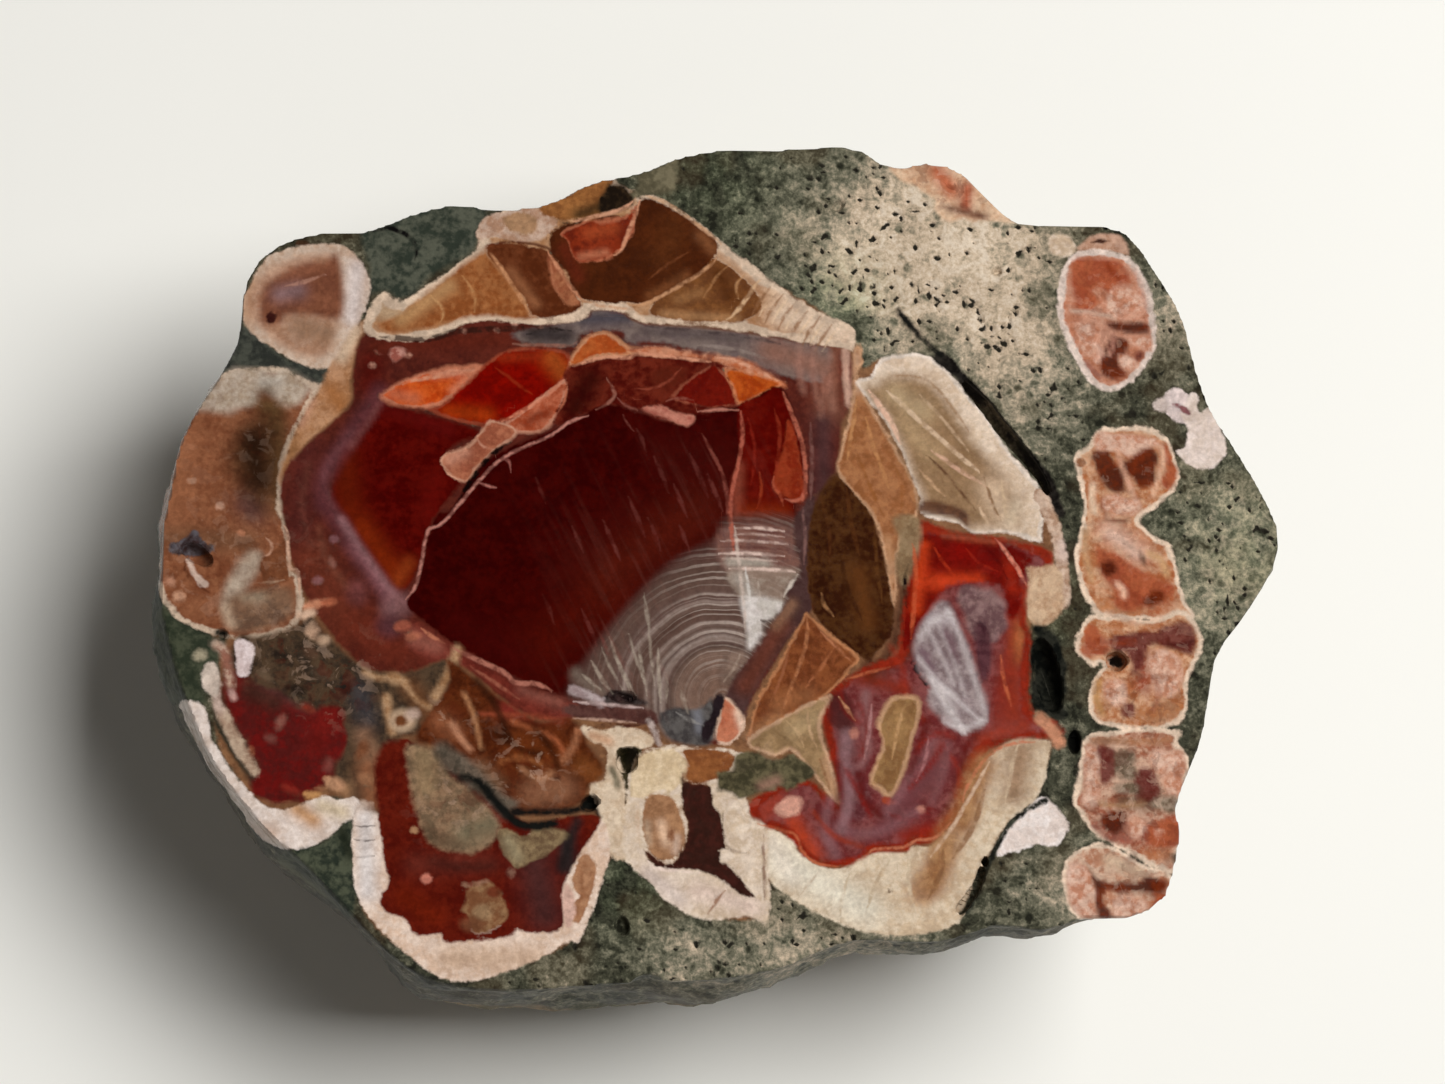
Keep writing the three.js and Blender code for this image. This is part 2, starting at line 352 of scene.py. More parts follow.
def layDown(where, distance, first, other, soft, banded):
    # puts a patch into the lowest layer that is free along its edge, and cuts it out of the layers above
    reach = soft + drawn["apart"]
    atEdge = where[np.abs(distance) < reach + drawn["clearance"]]
    free = [number for number, layer in enumerate(layers) if not layer["covered"][atEdge].any()]
    if not free:
        free = [len(layers)]
        layers.append({
            "covered": np.zeros(pointCount, bool),
            "edge": np.full(pointCount, drawn["noPatch"]),
            "colour": np.zeros((pointCount, 4)),
            "second": np.full((pointCount, 4), drawn["plainSoft"]),
        })
    place = free[0]
    near, within, deep = distance < reach, distance < -reach, distance < -reach - drawn["apart"]
    above = np.full(len(where), drawn["noPatch"])
    for layer in layers[place + 1:]:
        above = np.minimum(above, layer["edge"][where])
        layer["edge"][where[near]] = np.maximum(layer["edge"][where[near]], -distance[near])
        layer["edge"][where[within]] = drawn["cutAway"]
        layer["covered"][where[within]] = False
    for layer in layers[:place]:
        layer["edge"][where[deep]] = drawn["cutAway"]
        layer["covered"][where[deep]] = False
    layer, chosen = layers[place], where[near]
    under = drawn["tuckedUnder"] * np.clip(-above / drawn["tuckedFrom"], 0, 1)
    layer["covered"][chosen] = True
    layer["edge"][chosen] = (distance - under)[near]
    layer["colour"][chosen, :3] = first[near]
    layer["colour"][chosen, 3] = banded
    layer["second"][chosen, :3] = other[near]
    layer["second"][chosen, 3] = soft


def lay(where, distance, colour, second, soft, strength, gloss, glows, banded=0.0):
    first, other = fills(where, colour, second, glows)
    if soft > drawn["glazeFrom"] or strength < 1:
        glaze(where, distance, first, other, max(soft, drawn["leastGlaze"]), strength, banded)
    else:
        layDown(where, distance, first, other, soft, banded)
    cover = np.clip(0.5 - distance / (2 * max(soft, drawn["leastGloss"])), 0, 1) * strength
    glossy[where] += (gloss - glossy[where]) * cover


def patch(outline, colour, second=None, soft=1.2, strength=1.0, gloss=1.0, rim=None, ragged=0,
          straight=False, glows=(), banded=0.0):
    # a closed patch of colour, with a rim of (width, colour) along its edge; each glow tints it
    # along a line, as x, y, x, y, radius, colour, amount
    soft, ragged = soft / drawn["perMm"], ragged / drawn["perMm"]
    path = np.array(outline, float) / drawn["perMm"] if straight else curveThrough(outline, True)
    where = pointsNear(path, drawn["margin"] + soft)
    distance = pathDistance(path, where, True) + closing[where]
    if ragged:
        distance = distance + ragged * uneven("raggedEdge", where)
    if rim:
        width, rimColour = rim
        lay(where, distance, rimColour, None, soft, strength, gloss, ())
        distance = distance + width / drawn["perMm"] * uneven("unevenRim", where)
    lay(where, distance, colour, second, soft, strength, gloss, glows, banded)


def spot(x, y, wide, high, colour, turn=0.0, soft=2, **rest):
    # an oval patch from its middle and half widths
    angles = np.arange(drawn["ovalCorners"]) * 2 * np.pi / drawn["ovalCorners"]
    ovalX, ovalY = wide * np.cos(angles), high * np.sin(angles)
    cosine, sine = np.cos(np.radians(turn)), np.sin(np.radians(turn))
    outline = np.stack([x + ovalX * cosine - ovalY * sine, y + ovalX * sine + ovalY * cosine], 1)
    patch(outline, colour, soft=soft, **rest)


def stroke(route, colour, width, strength=1.0, second=None, soft=2, gloss=1.0, glows=()):
    # a broad line
    soft, width = soft / drawn["perMm"], width / drawn["perMm"]
    path = curveThrough(route, False)
    where = pointsNear(path, drawn["margin"] + width / 2 + soft)
    half = width / 2 * uneven("unevenStroke", where)
    distance = pathDistance(path, where, False) - half + closing[where]
    lay(where, distance, colour, second, soft, strength, gloss, glows)


def vein(route, colour, width, strength=1.0):
    # a hairline: kept as a signed distance to its middle and a half width that tapers at its ends
    path = curveThrough(route, False)
    where = pointsNear(path, drawn["veinReach"])
    x, y = across[where], along[where]
    nearest = np.full(len(where), np.inf)
    side, half = np.zeros(len(where)), np.full(len(where), drawn["noVein"])
    lengths = np.hypot(*np.diff(path, axis=0).T)
    total, walked = lengths.sum(), 0.0
    taper = min(drawn["veinTaper"], total / 2)
    for number, ((ax, ay), (bx, by)) in enumerate(zip(path, path[1:])):
        dx, dy, length = bx - ax, by - ay, max(lengths[number], 1e-6)
        share = ((x - ax) * dx + (y - ay) * dy) / length ** 2
        clipped = np.clip(share, 0, 1)
        away = np.hypot(x - ax - clipped * dx, y - ay - clipped * dy)
        past = (share < 0) & (number == 0) | (share > 1) & (number == len(lengths) - 1)
        position = walked + clipped * length
        wide = np.clip(np.minimum(position, total - position) / taper, drawn["veinThinnest"], 1)
        wide = width / drawn["perMm"] / 2 * wide
        better = away < nearest
        nearest = np.where(better, away, nearest)
        cross = ((y - ay) * dx - (x - ax) * dy) / length
        side = np.where(better, np.where(cross < 0, -away, away), side)
        half = np.where(better, np.where(past, drawn["noVein"], wide), half)
        walked += length
    half = np.where(nearest > drawn["veinReach"], drawn["noVein"], half - closing[where])
    half = np.maximum(half, drawn["noVein"])
    covered = np.zeros(pointCount, bool)
    covered[where] = half > drawn["veinFrom"]
    free = [layer for layer in veinLayers if not (layer["covered"] & covered).any()]
    if not free:
        veinLayers.append({
            "covered": np.zeros(pointCount, bool),
            "side": np.full(pointCount, drawn["noPatch"]),
            "half": np.full(pointCount, drawn["noVein"]),
            "colour": np.zeros((pointCount, 4)),
        })
    layer = free[0] if free else veinLayers[-1]
    layer["covered"] |= covered
    near = (half > drawn["veinFrom"]) | (layer["half"][where] < drawn["veinFrom"])
    chosen = where[near]
    layer["side"][chosen] = side[near]
    layer["half"][chosen] = half[near]
    layer["colour"][chosen, :3] = linear(colour)
    layer["colour"][chosen, 3] = strength


def each(kind, items, **shared):
    # draws a list of spots, strokes or veins that have some settings in common
    for item in items:
        kind(*item, **shared)


def drawSeams():
    # tan chalcedony that fills the joints between everything drawn on it
    patch([
        (-370, 120), (-340, 140), (-310, 146), (-280, 144), (-264, 170), (-246, 190), (-210, 204),
        (-174, 236), (-160, 260), (-80, 290), (-44, 280), (30, 230), (94, 190), (105, 160), (122, 168),
        (164, 162), (198, 116), (232, 74), (244, 30), (240, 0), (225, -30), (225, -90), (240, -104),
        (234, -130), (210, -164), (184, -210), (164, -242), (120, -246), (70, -233), (40, -214), (36, -238),
        (0, -240), (-40, -220), (-70, -196), (-94, -251), (-130, -272), (-187, -280), (-220, -264),
        (-246, -234), (-249, -170), (-270, -160), (-310, -170), (-348, -120), (-350, -50), (-386, -18),
        (-400, 30), (-390, 90)
    ], "#8a6244", "#704c34", soft=2)


def drawLeftBubbles():
    # stony ground around the bubbles
    patch([
        (-252, 256), (-247, 225), (-250, 202), (-244, 207), (-234, 209), (-226, 204), (-215, 208),
        (-200, 224), (-173, 241), (-169, 257), (-164, 266), (-170, 285), (-190, 290), (-220, 282)
    ], "#2e342c", "#54564a", soft=3, gloss=0)
    vein([(-250, 251), (-235, 256), (-220, 251), (-214, 241), (-215, 230)], "#0e0c0c", 3.5)
    patch([
        (-333, 180), (-302, 155), (-272, 157), (-280, 137), (-315, 151), (-370, 140), (-360, 170)
    ], "#2c2e2a", "#464840", gloss=0)
    # dark green rock at the left end, darkened with painted shade where the drawing runs onto the side wall
    patch([
        (-410, -20), (-392, -16), (-382, -30), (-354, -46), (-344, -44), (-346, -60), (-360, -70),
        (-360, -86), (-356, -94), (-374, -96), (-380, -110), (-410, -90)
    ], "#2c3226", "#464a3a", soft=3, gloss=0)

    # round bubble at the top
    patch([
        (-337, 190), (-330, 216), (-313, 236), (-270, 243), (-251, 228), (-247, 204), (-266, 160),
        (-287, 151), (-327, 173)
    ], "#ceb8a6", "#bea08a",
        glows=[(-256, 225, -259, 190, 8, "#ded0cc", 0.9), (-332, 190, -330, 210, 6, "#c49470", 0.8)])
    patch([
        (-332, 190), (-324, 218), (-295, 233), (-269, 229), (-272, 166), (-300, 162)
    ], "#aa8066", "#be9880", soft=5, glows=[(-295, 180, -276, 176, 10, "#927058", 0.8)])
    patch([
        (-322, 210), (-296, 228), (-280, 230), (-269, 233), (-266, 190), (-290, 190), (-305, 189),
        (-310, 183), (-323, 184)
    ], "#82503a", "#704230", soft=4,
        glows=[(-310, 205, -298, 208, 7, "#8c6e70", 0.85), (-316, 220, -290, 224, 6, "#986048", 0.7)])
    vein([(-308, 210), (-292, 215), (-277, 221)], "#b08270", 3, 0.7)
    spot(-316, 187, 3.8, 4.5, "#3a1814")
    spot(-294, 243, 5, 2, "#462c1c", soft=1.5)

    # long bubble down the left end
    patch([
        (-365, 134), (-355, 144), (-315, 151), (-287, 140), (-280, 136), (-300, 98), (-306, 55), (-300, 20),
        (-300, 2), (-293, -3), (-293, -36), (-335, -48), (-382, -30), (-398, 8), (-410, 30), (-410, 60),
        (-386, 115)
    ], "#8e5a3e", "#78462e", rim=(3.5, "#ccb49e"), ragged=0.8, glows=[
        (-380, 90, -386, 40, 15, "#a46a4a", 0.9), (-328, 96, -322, 70, 13, "#2a180e", 0.95),
        (-330, 50, -326, 46, 11, "#5c3e3c", 0.8), (-312, 120, -306, 50, 7, "#705434", 0.75),
        (-384, 26, -330, 22, 9, "#724e38", 0.75)
    ])
    patch([
        (-372, 122), (-342, 147), (-310, 148), (-284, 136), (-302, 124), (-320, 132), (-326, 122),
        (-342, 120), (-352, 116)
    ], "#bcac9c", "#a28e7a", soft=4.5, ragged=3, glows=[(-322, 140, -310, 140, 5, "#ccc2b6", 0.7)])
    patch([
        (-326, 128), (-316, 134), (-303, 95), (-318, 44), (-342, 74), (-340, 95), (-330, 110)
    ], "#422a18", "#2e1c10", soft=10, strength=0.75,
        glows=[(-326, 95, -323, 75, 12, "#28160c", 0.9), (-324, 123, -316, 123, 6, "#544228", 0.9)])
    patch([
        (-384, 20), (-375, 23), (-367, 30), (-360, 22), (-352, 19), (-360, 12), (-381, 12)
    ], "#342626", "#58545a", soft=2, gloss=0.3)
    vein([(-374, 9), (-370, -4), (-354, -16)], "#542a18", 3.5, 0.8)
    patch([(-373, 9), (-369, 8), (-364, -1), (-356, -9), (-361, -11), (-367, -4)], "#dcc0b0", soft=1.5)
    patch([
        (-330, 14), (-320, 14), (-322, 2), (-336, -19), (-346, -26), (-344, -8)
    ], "#b6a492", "#a08c7a", soft=4)
    patch([
        (-320, 8), (-310, 18), (-303, 25), (-301, 10), (-301, -5), (-315, -8)
    ], "#7a4a30", "#683c26", soft=3)
    patch([
        (-344, -18), (-310, -10), (-298, -13), (-298, -30), (-325, -43), (-343, -38)
    ], "#82624c", "#684e3e", soft=5,
        glows=[(-346, -26, -342, -38, 5, "#ceb49a", 0.9), (-330, -17, -320, -17, 5, "#a08c76", 0.7)])
    spot(-377, -18, 4.5, 3.5, "#ce9c7e", soft=2.5)
    spot(-384, -7, 3.5, 3, "#c48c70", soft=2.5)
    spot(-350, 48, 3.5, 3, "#c69880")
    spot(-370, 66, 4, 2, "#ba8a70")
    spot(-334, 29, 4, 2.5, "#b67a5c")
    vein([(-319, 27), (-313, 22), (-314, 15), (-320, 11)], "#c0947c", 2.5, 0.8)
    vein([(-307, 36), (-302, 31), (-300, 4), (-294, 2), (-292, -20)], "#c8a088", 2.4)
    vein([(-324, -7), (-310, -6), (-302, -4)], "#b0927a", 2, 0.7)


def drawTanBand():
    # tan seam between the long bubble and the great chamber
    patch([
        (-250, 188), (-272, 156), (-280, 136), (-289, 123), (-306, 78), (-306, 64), (-294, 90), (-260, 126),
        (-259, 145)
    ], "#b88a68", "#a0704c", soft=2.5, ragged=1, glows=[
        (-256, 180, -266, 160, 6, "#d2b89e", 0.9), (-272, 134, -266, 124, 7, "#ac7042", 0.9),
        (-286, 128, -294, 110, 3, "#d4a084", 0.9), (-298, 96, -304, 74, 5, "#966842", 0.9)
    ])


def drawGreatChamber():
    patch([
        (-249, 178), (-210, 175), (-170, 189), (-105, 190), (-87, 200), (-68, 200), (-50, 191), (45, 184),
        (95, 176), (99, 133), (92, 120), (87, 82), (73, 50), (72, -10), (62, -25), (26, -85), (10, -115),
        (-30, -114), (-40, -103), (-103, -98), (-125, -100), (-145, -90), (-185, -60), (-215, -70),
        (-245, -68), (-289, -15), (-307, 55), (-297, 86), (-260, 123), (-258, 146)
    ], "#5c261c", "#4a1c16", soft=2, glows=[
        (-286, 90, -294, 30, 12, "#542420", 0.85), (-284, 10, -260, -34, 16, "#703424", 0.8),
        (-250, -36, -220, -56, 15, "#6a2a1c", 0.8), (-198, -52, -174, -60, 9, "#7a342a", 0.7),
        (-244, 156, -246, 140, 10, "#58100a", 0.8), (-240, 168, -150, 176, 7, "#602418", 0.9),
        (86, 172, 84, 130, 12, "#885442", 0.9), (78, 120, 78, 20, 8, "#4e3030", 0.9),
        (-80, -95, -40, -98, 6, "#60423e", 0.9)
    ])
    # grey band along the top
    patch([
        (-144, 181), (-94, 192), (-87, 198), (-68, 198), (-50, 189), (0, 187), (70, 177), (84, 173),
        (80, 154), (66, 150), (-30, 175), (-60, 174), (-67, 184), (-96, 181), (-102, 172), (-136, 174)
    ], "#685856", "#786862", soft=3, glows=[
        (-94, 192, -62, 194, 5, "#48444c", 0.9), (-130, 180, -106, 179, 7, "#383030", 0.95),
        (-50, 184, 20, 180, 3.5, "#544848", 0.7), (40, 172, 80, 160, 10, "#926656", 0.85)
    ])
    for route, width in [
        ([(62, 176), (61, 160), (64, 142)], 3.5), ([(72, 174), (71, 154), (75, 134)], 3),
        ([(84, 170), (83, 152), (85, 130)], 4), ([(78, 158), (79, 140), (76, 124)], 2.5)
    ]:
        stroke(route, "#a87868", width, soft=3, strength=0.6)
    stroke([(90, 170), (91, 150), (91, 134)], "#60281e", 2.5, strength=0.7)
    stroke([(95, 174), (95, 154), (97, 134)], "#cea490", 5)
    vein([(-240, 175), (-205, 174), (-180, 181), (-110, 185)], "#2e1812", 4.5, 0.85)
    vein([(-136, 179), (-120, 183), (-102, 183)], "#1a1414", 3.5, 0.8)
    vein([(-146, 172), (-106, 172), (-98, 176)], "#966858", 2.5, 0.7)
    vein([(-52, 188), (20, 182), (50, 176)], "#423636", 2.5, 0.7)
    vein([(-14, 175), (16, 172), (40, 165)], "#96867e", 2.5, 0.6)
    patch([
        (-242, 164), (-235, 161), (-229, 168), (-221, 167), (-228, 155), (-232, 160)
    ], "#d6a092", "#965448", soft=1, ragged=2.5)
    each(spot, [
        (-218, 162), (-179, 181), (-156, 182), (-124, 186), (-143, 187), (-244, 154)
    ], wide=2, high=1.4, colour="#ce9884", soft=1.2)

    # left red window with its mauve ribbon
    patch([
        (-239, 131), (-225, 124), (-168, 107), (-185, 97), (-193, 82), (-180, 72), (-183, 65), (-203, 35),
        (-210, 5), (-222, -12), (-230, -5), (-263, 42), (-272, 52), (-265, 93), (-255, 105)
    ], "#440100", "#560803", soft=2.5, glows=[
        (-264, 86, -259, 50, 11, "#641a06", 0.85), (-250, 36, -226, 2, 9, "#7c2608", 0.85),
        (-224, -4, -216, 10, 5, "#963e18", 0.7), (-234, 124, -190, 108, 7, "#5c0c0a", 0.8),
        (-198, 70, -204, 46, 7, "#680e08", 0.6)
    ])
    stroke([
        (-239, 134), (-273, 78), (-278, 55), (-270, 42), (-226, -22)
    ], "#643438", 11, second="#562c30", soft=6, strength=0.85,
        glows=[(-250, 20, -228, -16, 9, "#88585e", 0.9)])
    each(stroke, [
        ([(-258, 104), (-272, 84), (-276, 64), (-256, 24)], "#784a4e", 3.5, 0.5),
        ([(-264, 40), (-238, 2), (-226, -14)], "#9c7074", 4.5, 0.7),
        ([(-236, 130), (-246, 112), (-258, 94)], "#8c5854", 2.5, 0.5),
        ([(-288, 80), (-292, 50), (-286, 20)], "#6e3e32", 4, 0.5),
        ([(-280, 34), (-274, 12), (-260, -8)], "#824c3a", 4, 0.5)
    ], soft=3.5)
    spot(-224, -22, 11, 8, "#8c6262", turn=30, soft=7, strength=0.8)
    spot(-229, -36, 9, 8, "#5c363c", soft=6, strength=0.8)
    spot(-252, -12, 7, 9, "#7e4848", soft=6, strength=0.6)

    # salmon and orange broken facets under the top band
    patch([
        (-239, 132), (-200, 152), (-163, 156), (-171, 148), (-181, 136), (-208, 122)
    ], "#c85620", "#b23e10", soft=1, rim=(2.8, "#ce8062"), ragged=1, glows=[
        (-200, 150, -172, 153, 4, "#d4967a", 0.9), (-229, 133, -214, 130, 5, "#c46c4c", 0.8),
        (-186, 136, -174, 148, 3.5, "#cc8062", 0.8)
    ])
    vein([(-224, 139), (-212, 144), (-178, 150)], "#ce967a", 2.8, 0.75)
    patch([
        (-204, 122), (-193, 127), (-160, 160), (-140, 169), (-106, 167), (-107, 147), (-139, 120),
        (-170, 112)
    ], "#800800", "#6a0400", rim=(1.6, "#a44c34"), glows=[
        (-190, 121, -162, 119, 6, "#a4360c", 0.9), (-116, 162, -108, 152, 8, "#a24a1c", 0.9),
        (-152, 162, -126, 164, 4, "#922e14", 0.7)
    ])
    vein([(-158, 156), (-140, 142), (-128, 134)], "#963018", 2.2, 0.6)
    patch([
        (-104, 148), (-105, 136), (-117, 112), (-137, 106), (-151, 113), (-139, 121)
    ], "#9e482c", "#b6664a", soft=1, rim=(1.8, "#d09076"), ragged=1,
        glows=[(-134, 114, -120, 122, 4, "#7c2c16", 0.8)])
    patch([
        (-194, 86), (-174, 99), (-159, 116), (-140, 107), (-159, 91), (-174, 72), (-182, 71)
    ], "#b06c50", "#92503a", soft=1, rim=(1.8, "#d0987e"), ragged=1.4,
        glows=[(-188, 86, -178, 92, 5, "#c88e76", 0.8)])
    vein([(-170, 104), (-164, 96), (-156, 94)], "#c48c74", 2, 0.8)
    patch([
        (-95, 175), (-78, 183), (-61, 173), (-54, 171), (-63, 164), (-80, 164), (-104, 156)
    ], "#b45c2c", "#a0461c", rim=(2.2, "#d0926c"), soft=1, ragged=0.6)
    patch([
        (-104, 156), (-48, 166), (20, 158), (49, 144), (34, 139), (18, 131), (-35, 119), (-50, 125),
        (-75, 129), (-114, 113), (-105, 138)
    ], "#4c0e08", "#682416", soft=1.5, glows=[(-100, 126, -88, 148, 10, "#300604", 0.9)])
    # hood of pale salmon over the opening
    patch([
        (-58, 167), (-52, 173), (18, 165), (49, 149), (45, 146), (-4, 163)
    ], "#b0603c", "#c6886a", soft=1, ragged=1.6)
    patch([
        (-32, 134), (-24, 144), (-12, 154), (0, 162), (9, 152), (13, 144), (18, 131), (-4, 128)
    ], "#6c1409", "#5c0c06", soft=1, rim=(1.2, "#9e543e"), straight=True)
    patch([(-46, 148), (-36, 157), (-19, 158), (-22, 150), (-34, 142)], "#602214", soft=3, strength=0.8)
    patch([
        (8, 158), (42, 151), (48, 146), (35, 139), (18, 131), (13, 144)
    ], "#b8541c", "#9e3a0e", rim=(1.6, "#ce8058"))
    each(vein, [
        ([(-102, 156), (-80, 164), (-62, 164), (-50, 167), (0, 162)], "#d69678", 2.6),
        ([(0, 166), (18, 163), (48, 148)], "#d49c80", 2.6),
        ([(-86, 124), (-71, 135), (-78, 150)], "#966254", 2.4),
        ([(-71, 135), (-62, 128), (-52, 125)], "#824c42", 2),
        ([(-66, 124), (-62, 116), (-56, 109)], "#68342e", 2),
        ([(-58, 141), (-44, 142), (-32, 148), (-22, 159)], "#8c4230", 1.8),
        ([(-36, 132), (-24, 135), (-12, 133)], "#8c5042", 2.5),
        ([(-13, 125), (2, 127), (18, 127)], "#ba7a6a", 2.2),
        ([(-106, 148), (-122, 133), (-152, 114)], "#ce8064", 2.6),
        ([(-105, 144), (-107, 132), (-114, 118)], "#ba6c50", 2)
    ], strength=0.9)

    # the great dark red window
    patch([
        (-217, -19), (-210, -4), (-198, 43), (-186, 50), (-160, 87), (-100, 116), (-75, 129), (-23, 114),
        (-12, 123), (18, 130), (48, 144), (63, 104), (65, 68), (58, 58), (55, 43), (35, 20), (-30, -6),
        (-50, -30), (-75, -80), (-100, -87), (-165, -59), (-210, -28)
    ], "#300000", "#3c0301", soft=1.5, glows=[
        (-120, -46, -76, -14, 24, "#4c0c04", 0.9), (-76, 4, -10, 54, 22, "#52160c", 0.85),
        (-34, 94, 10, 86, 20, "#420a06", 0.8), (-180, -34, -140, -56, 12, "#420604", 0.7),
        (-106, 5, -60, 56, 12, "#460c07", 0.6)
    ])
    patch([
        (18, 130), (35, 138), (47, 143), (62, 104), (64, 69), (57, 59), (54, 43), (13, 43), (12, 75),
        (18, 90)
    ], "#520300", "#600c04", soft=1.5,
        glows=[(17, 86, 16, 48, 4.5, "#8c4634", 0.75), (24, 50, 48, 50, 8, "#862c0e", 0.85)])
    patch([(52, 122), (59, 110), (65, 68), (57, 61), (42, 74), (50, 102)], "#8e361c", "#7a220e", soft=1.5)
    each(vein, [
        ([(48, 144), (63, 104), (65, 68), (57, 61), (48, 64)], "#bc6a54", 3),
        ([(43, 80), (42, 73), (48, 64), (49, 56)], "#b4583c", 2.8),
        ([(42, 130), (47, 110), (43, 76)], "#882c1a", 2.5),
        ([(19, 128), (20, 104), (12, 60), (14, 20)], "#b6624e", 2.8),
        ([(-9, 110), (7, 76), (10, 44)], "#804238", 2.5), ([(24, 124), (29, 96), (26, 70)], "#7c1e12", 2.2),
        ([(32, 84), (34, 68), (30, 54)], "#96381e", 2), ([(69, 120), (70, 90), (69, 60)], "#78524c", 2.5)
    ], strength=0.8)
    for x, y, length, strength in [
        (-44, 94, 34, 0.4), (-30, 74, 32, 0.45), (-18, 96, 40, 0.4), (-6, 82, 34, 0.5),
        (-102, 42, 26, 0.35), (-80, 46, 34, 0.45), (-73, 30, 18, 0.5), (-62, 64, 36, 0.4),
        (-48, 48, 30, 0.4), (-26, 44, 24, 0.5), (-122, -10, 26, 0.3), (-94, -20, 32, 0.45),
        (-82, -36, 24, 0.5), (-128, 76, 24, 0.25), (-56, 114, 22, 0.4)
    ]:
        vein([
            (x, y), (x + length * 0.2, y - length * 0.46), (x + length * 0.37, y - length * 0.92)
        ], "#703832", 3, strength)

    # red brown selvage under the dark window
    patch([
        (-214, -32), (-180, -55), (-130, -80), (-100, -87), (-100, -99), (-125, -100), (-173, -65),
        (-187, -59), (-200, -59), (-216, -50)
    ], "#742e24", "#5e221a", soft=3.5,
        glows=[(-214, -44, -196, -50, 7, "#965c4e", 0.7), (-134, -79, -110, -88, 6, "#8c5448", 0.8)])
    each(vein, [
        ([(-185, -51), (-150, -67), (-140, -75), (-124, -76), (-112, -82)], "#aa6c5c", 3.6),
        ([(-209, -36), (-198, -44), (-189, -49)], "#b67056", 3.4),
        ([(-174, -63), (-154, -76), (-136, -88)], "#925442", 2.5),
        ([(-219, -18), (-210, -4), (-203, 33), (-192, 40), (-154, 85), (-117, 105), (-102, 116),
         (-88, 121)], "#b87c70", 2), ([(-182, 56), (-162, 86), (-144, 101)], "#0a0404", 3.6),
        ([(-154, 85), (-147, 87), (-144, 77)], "#a06058", 2),
        ([(-169, 70), (-160, 67), (-152, 66)], "#b07066", 2.2)
    ], strength=0.95)
    patch([
        (-52, 127), (-39, 129), (-26, 125), (-13, 123), (-19, 114), (-32, 118)
    ], "#be7c6a", "#a0584a", soft=1, ragged=0.8)


def drawFanGround():
    # where the grey banded fan lies; its bands are in the material
    patch([
        (4, 29), (-30, 10), (-70, -34), (-98, -76), (-94, -86), (-50, -92), (-30, -112), (6, -106),
        (14, -80), (66, 0), (62, 44), (12, 45), (10, 30)
    ], "#5c4842", soft=7.5, banded=1.0)


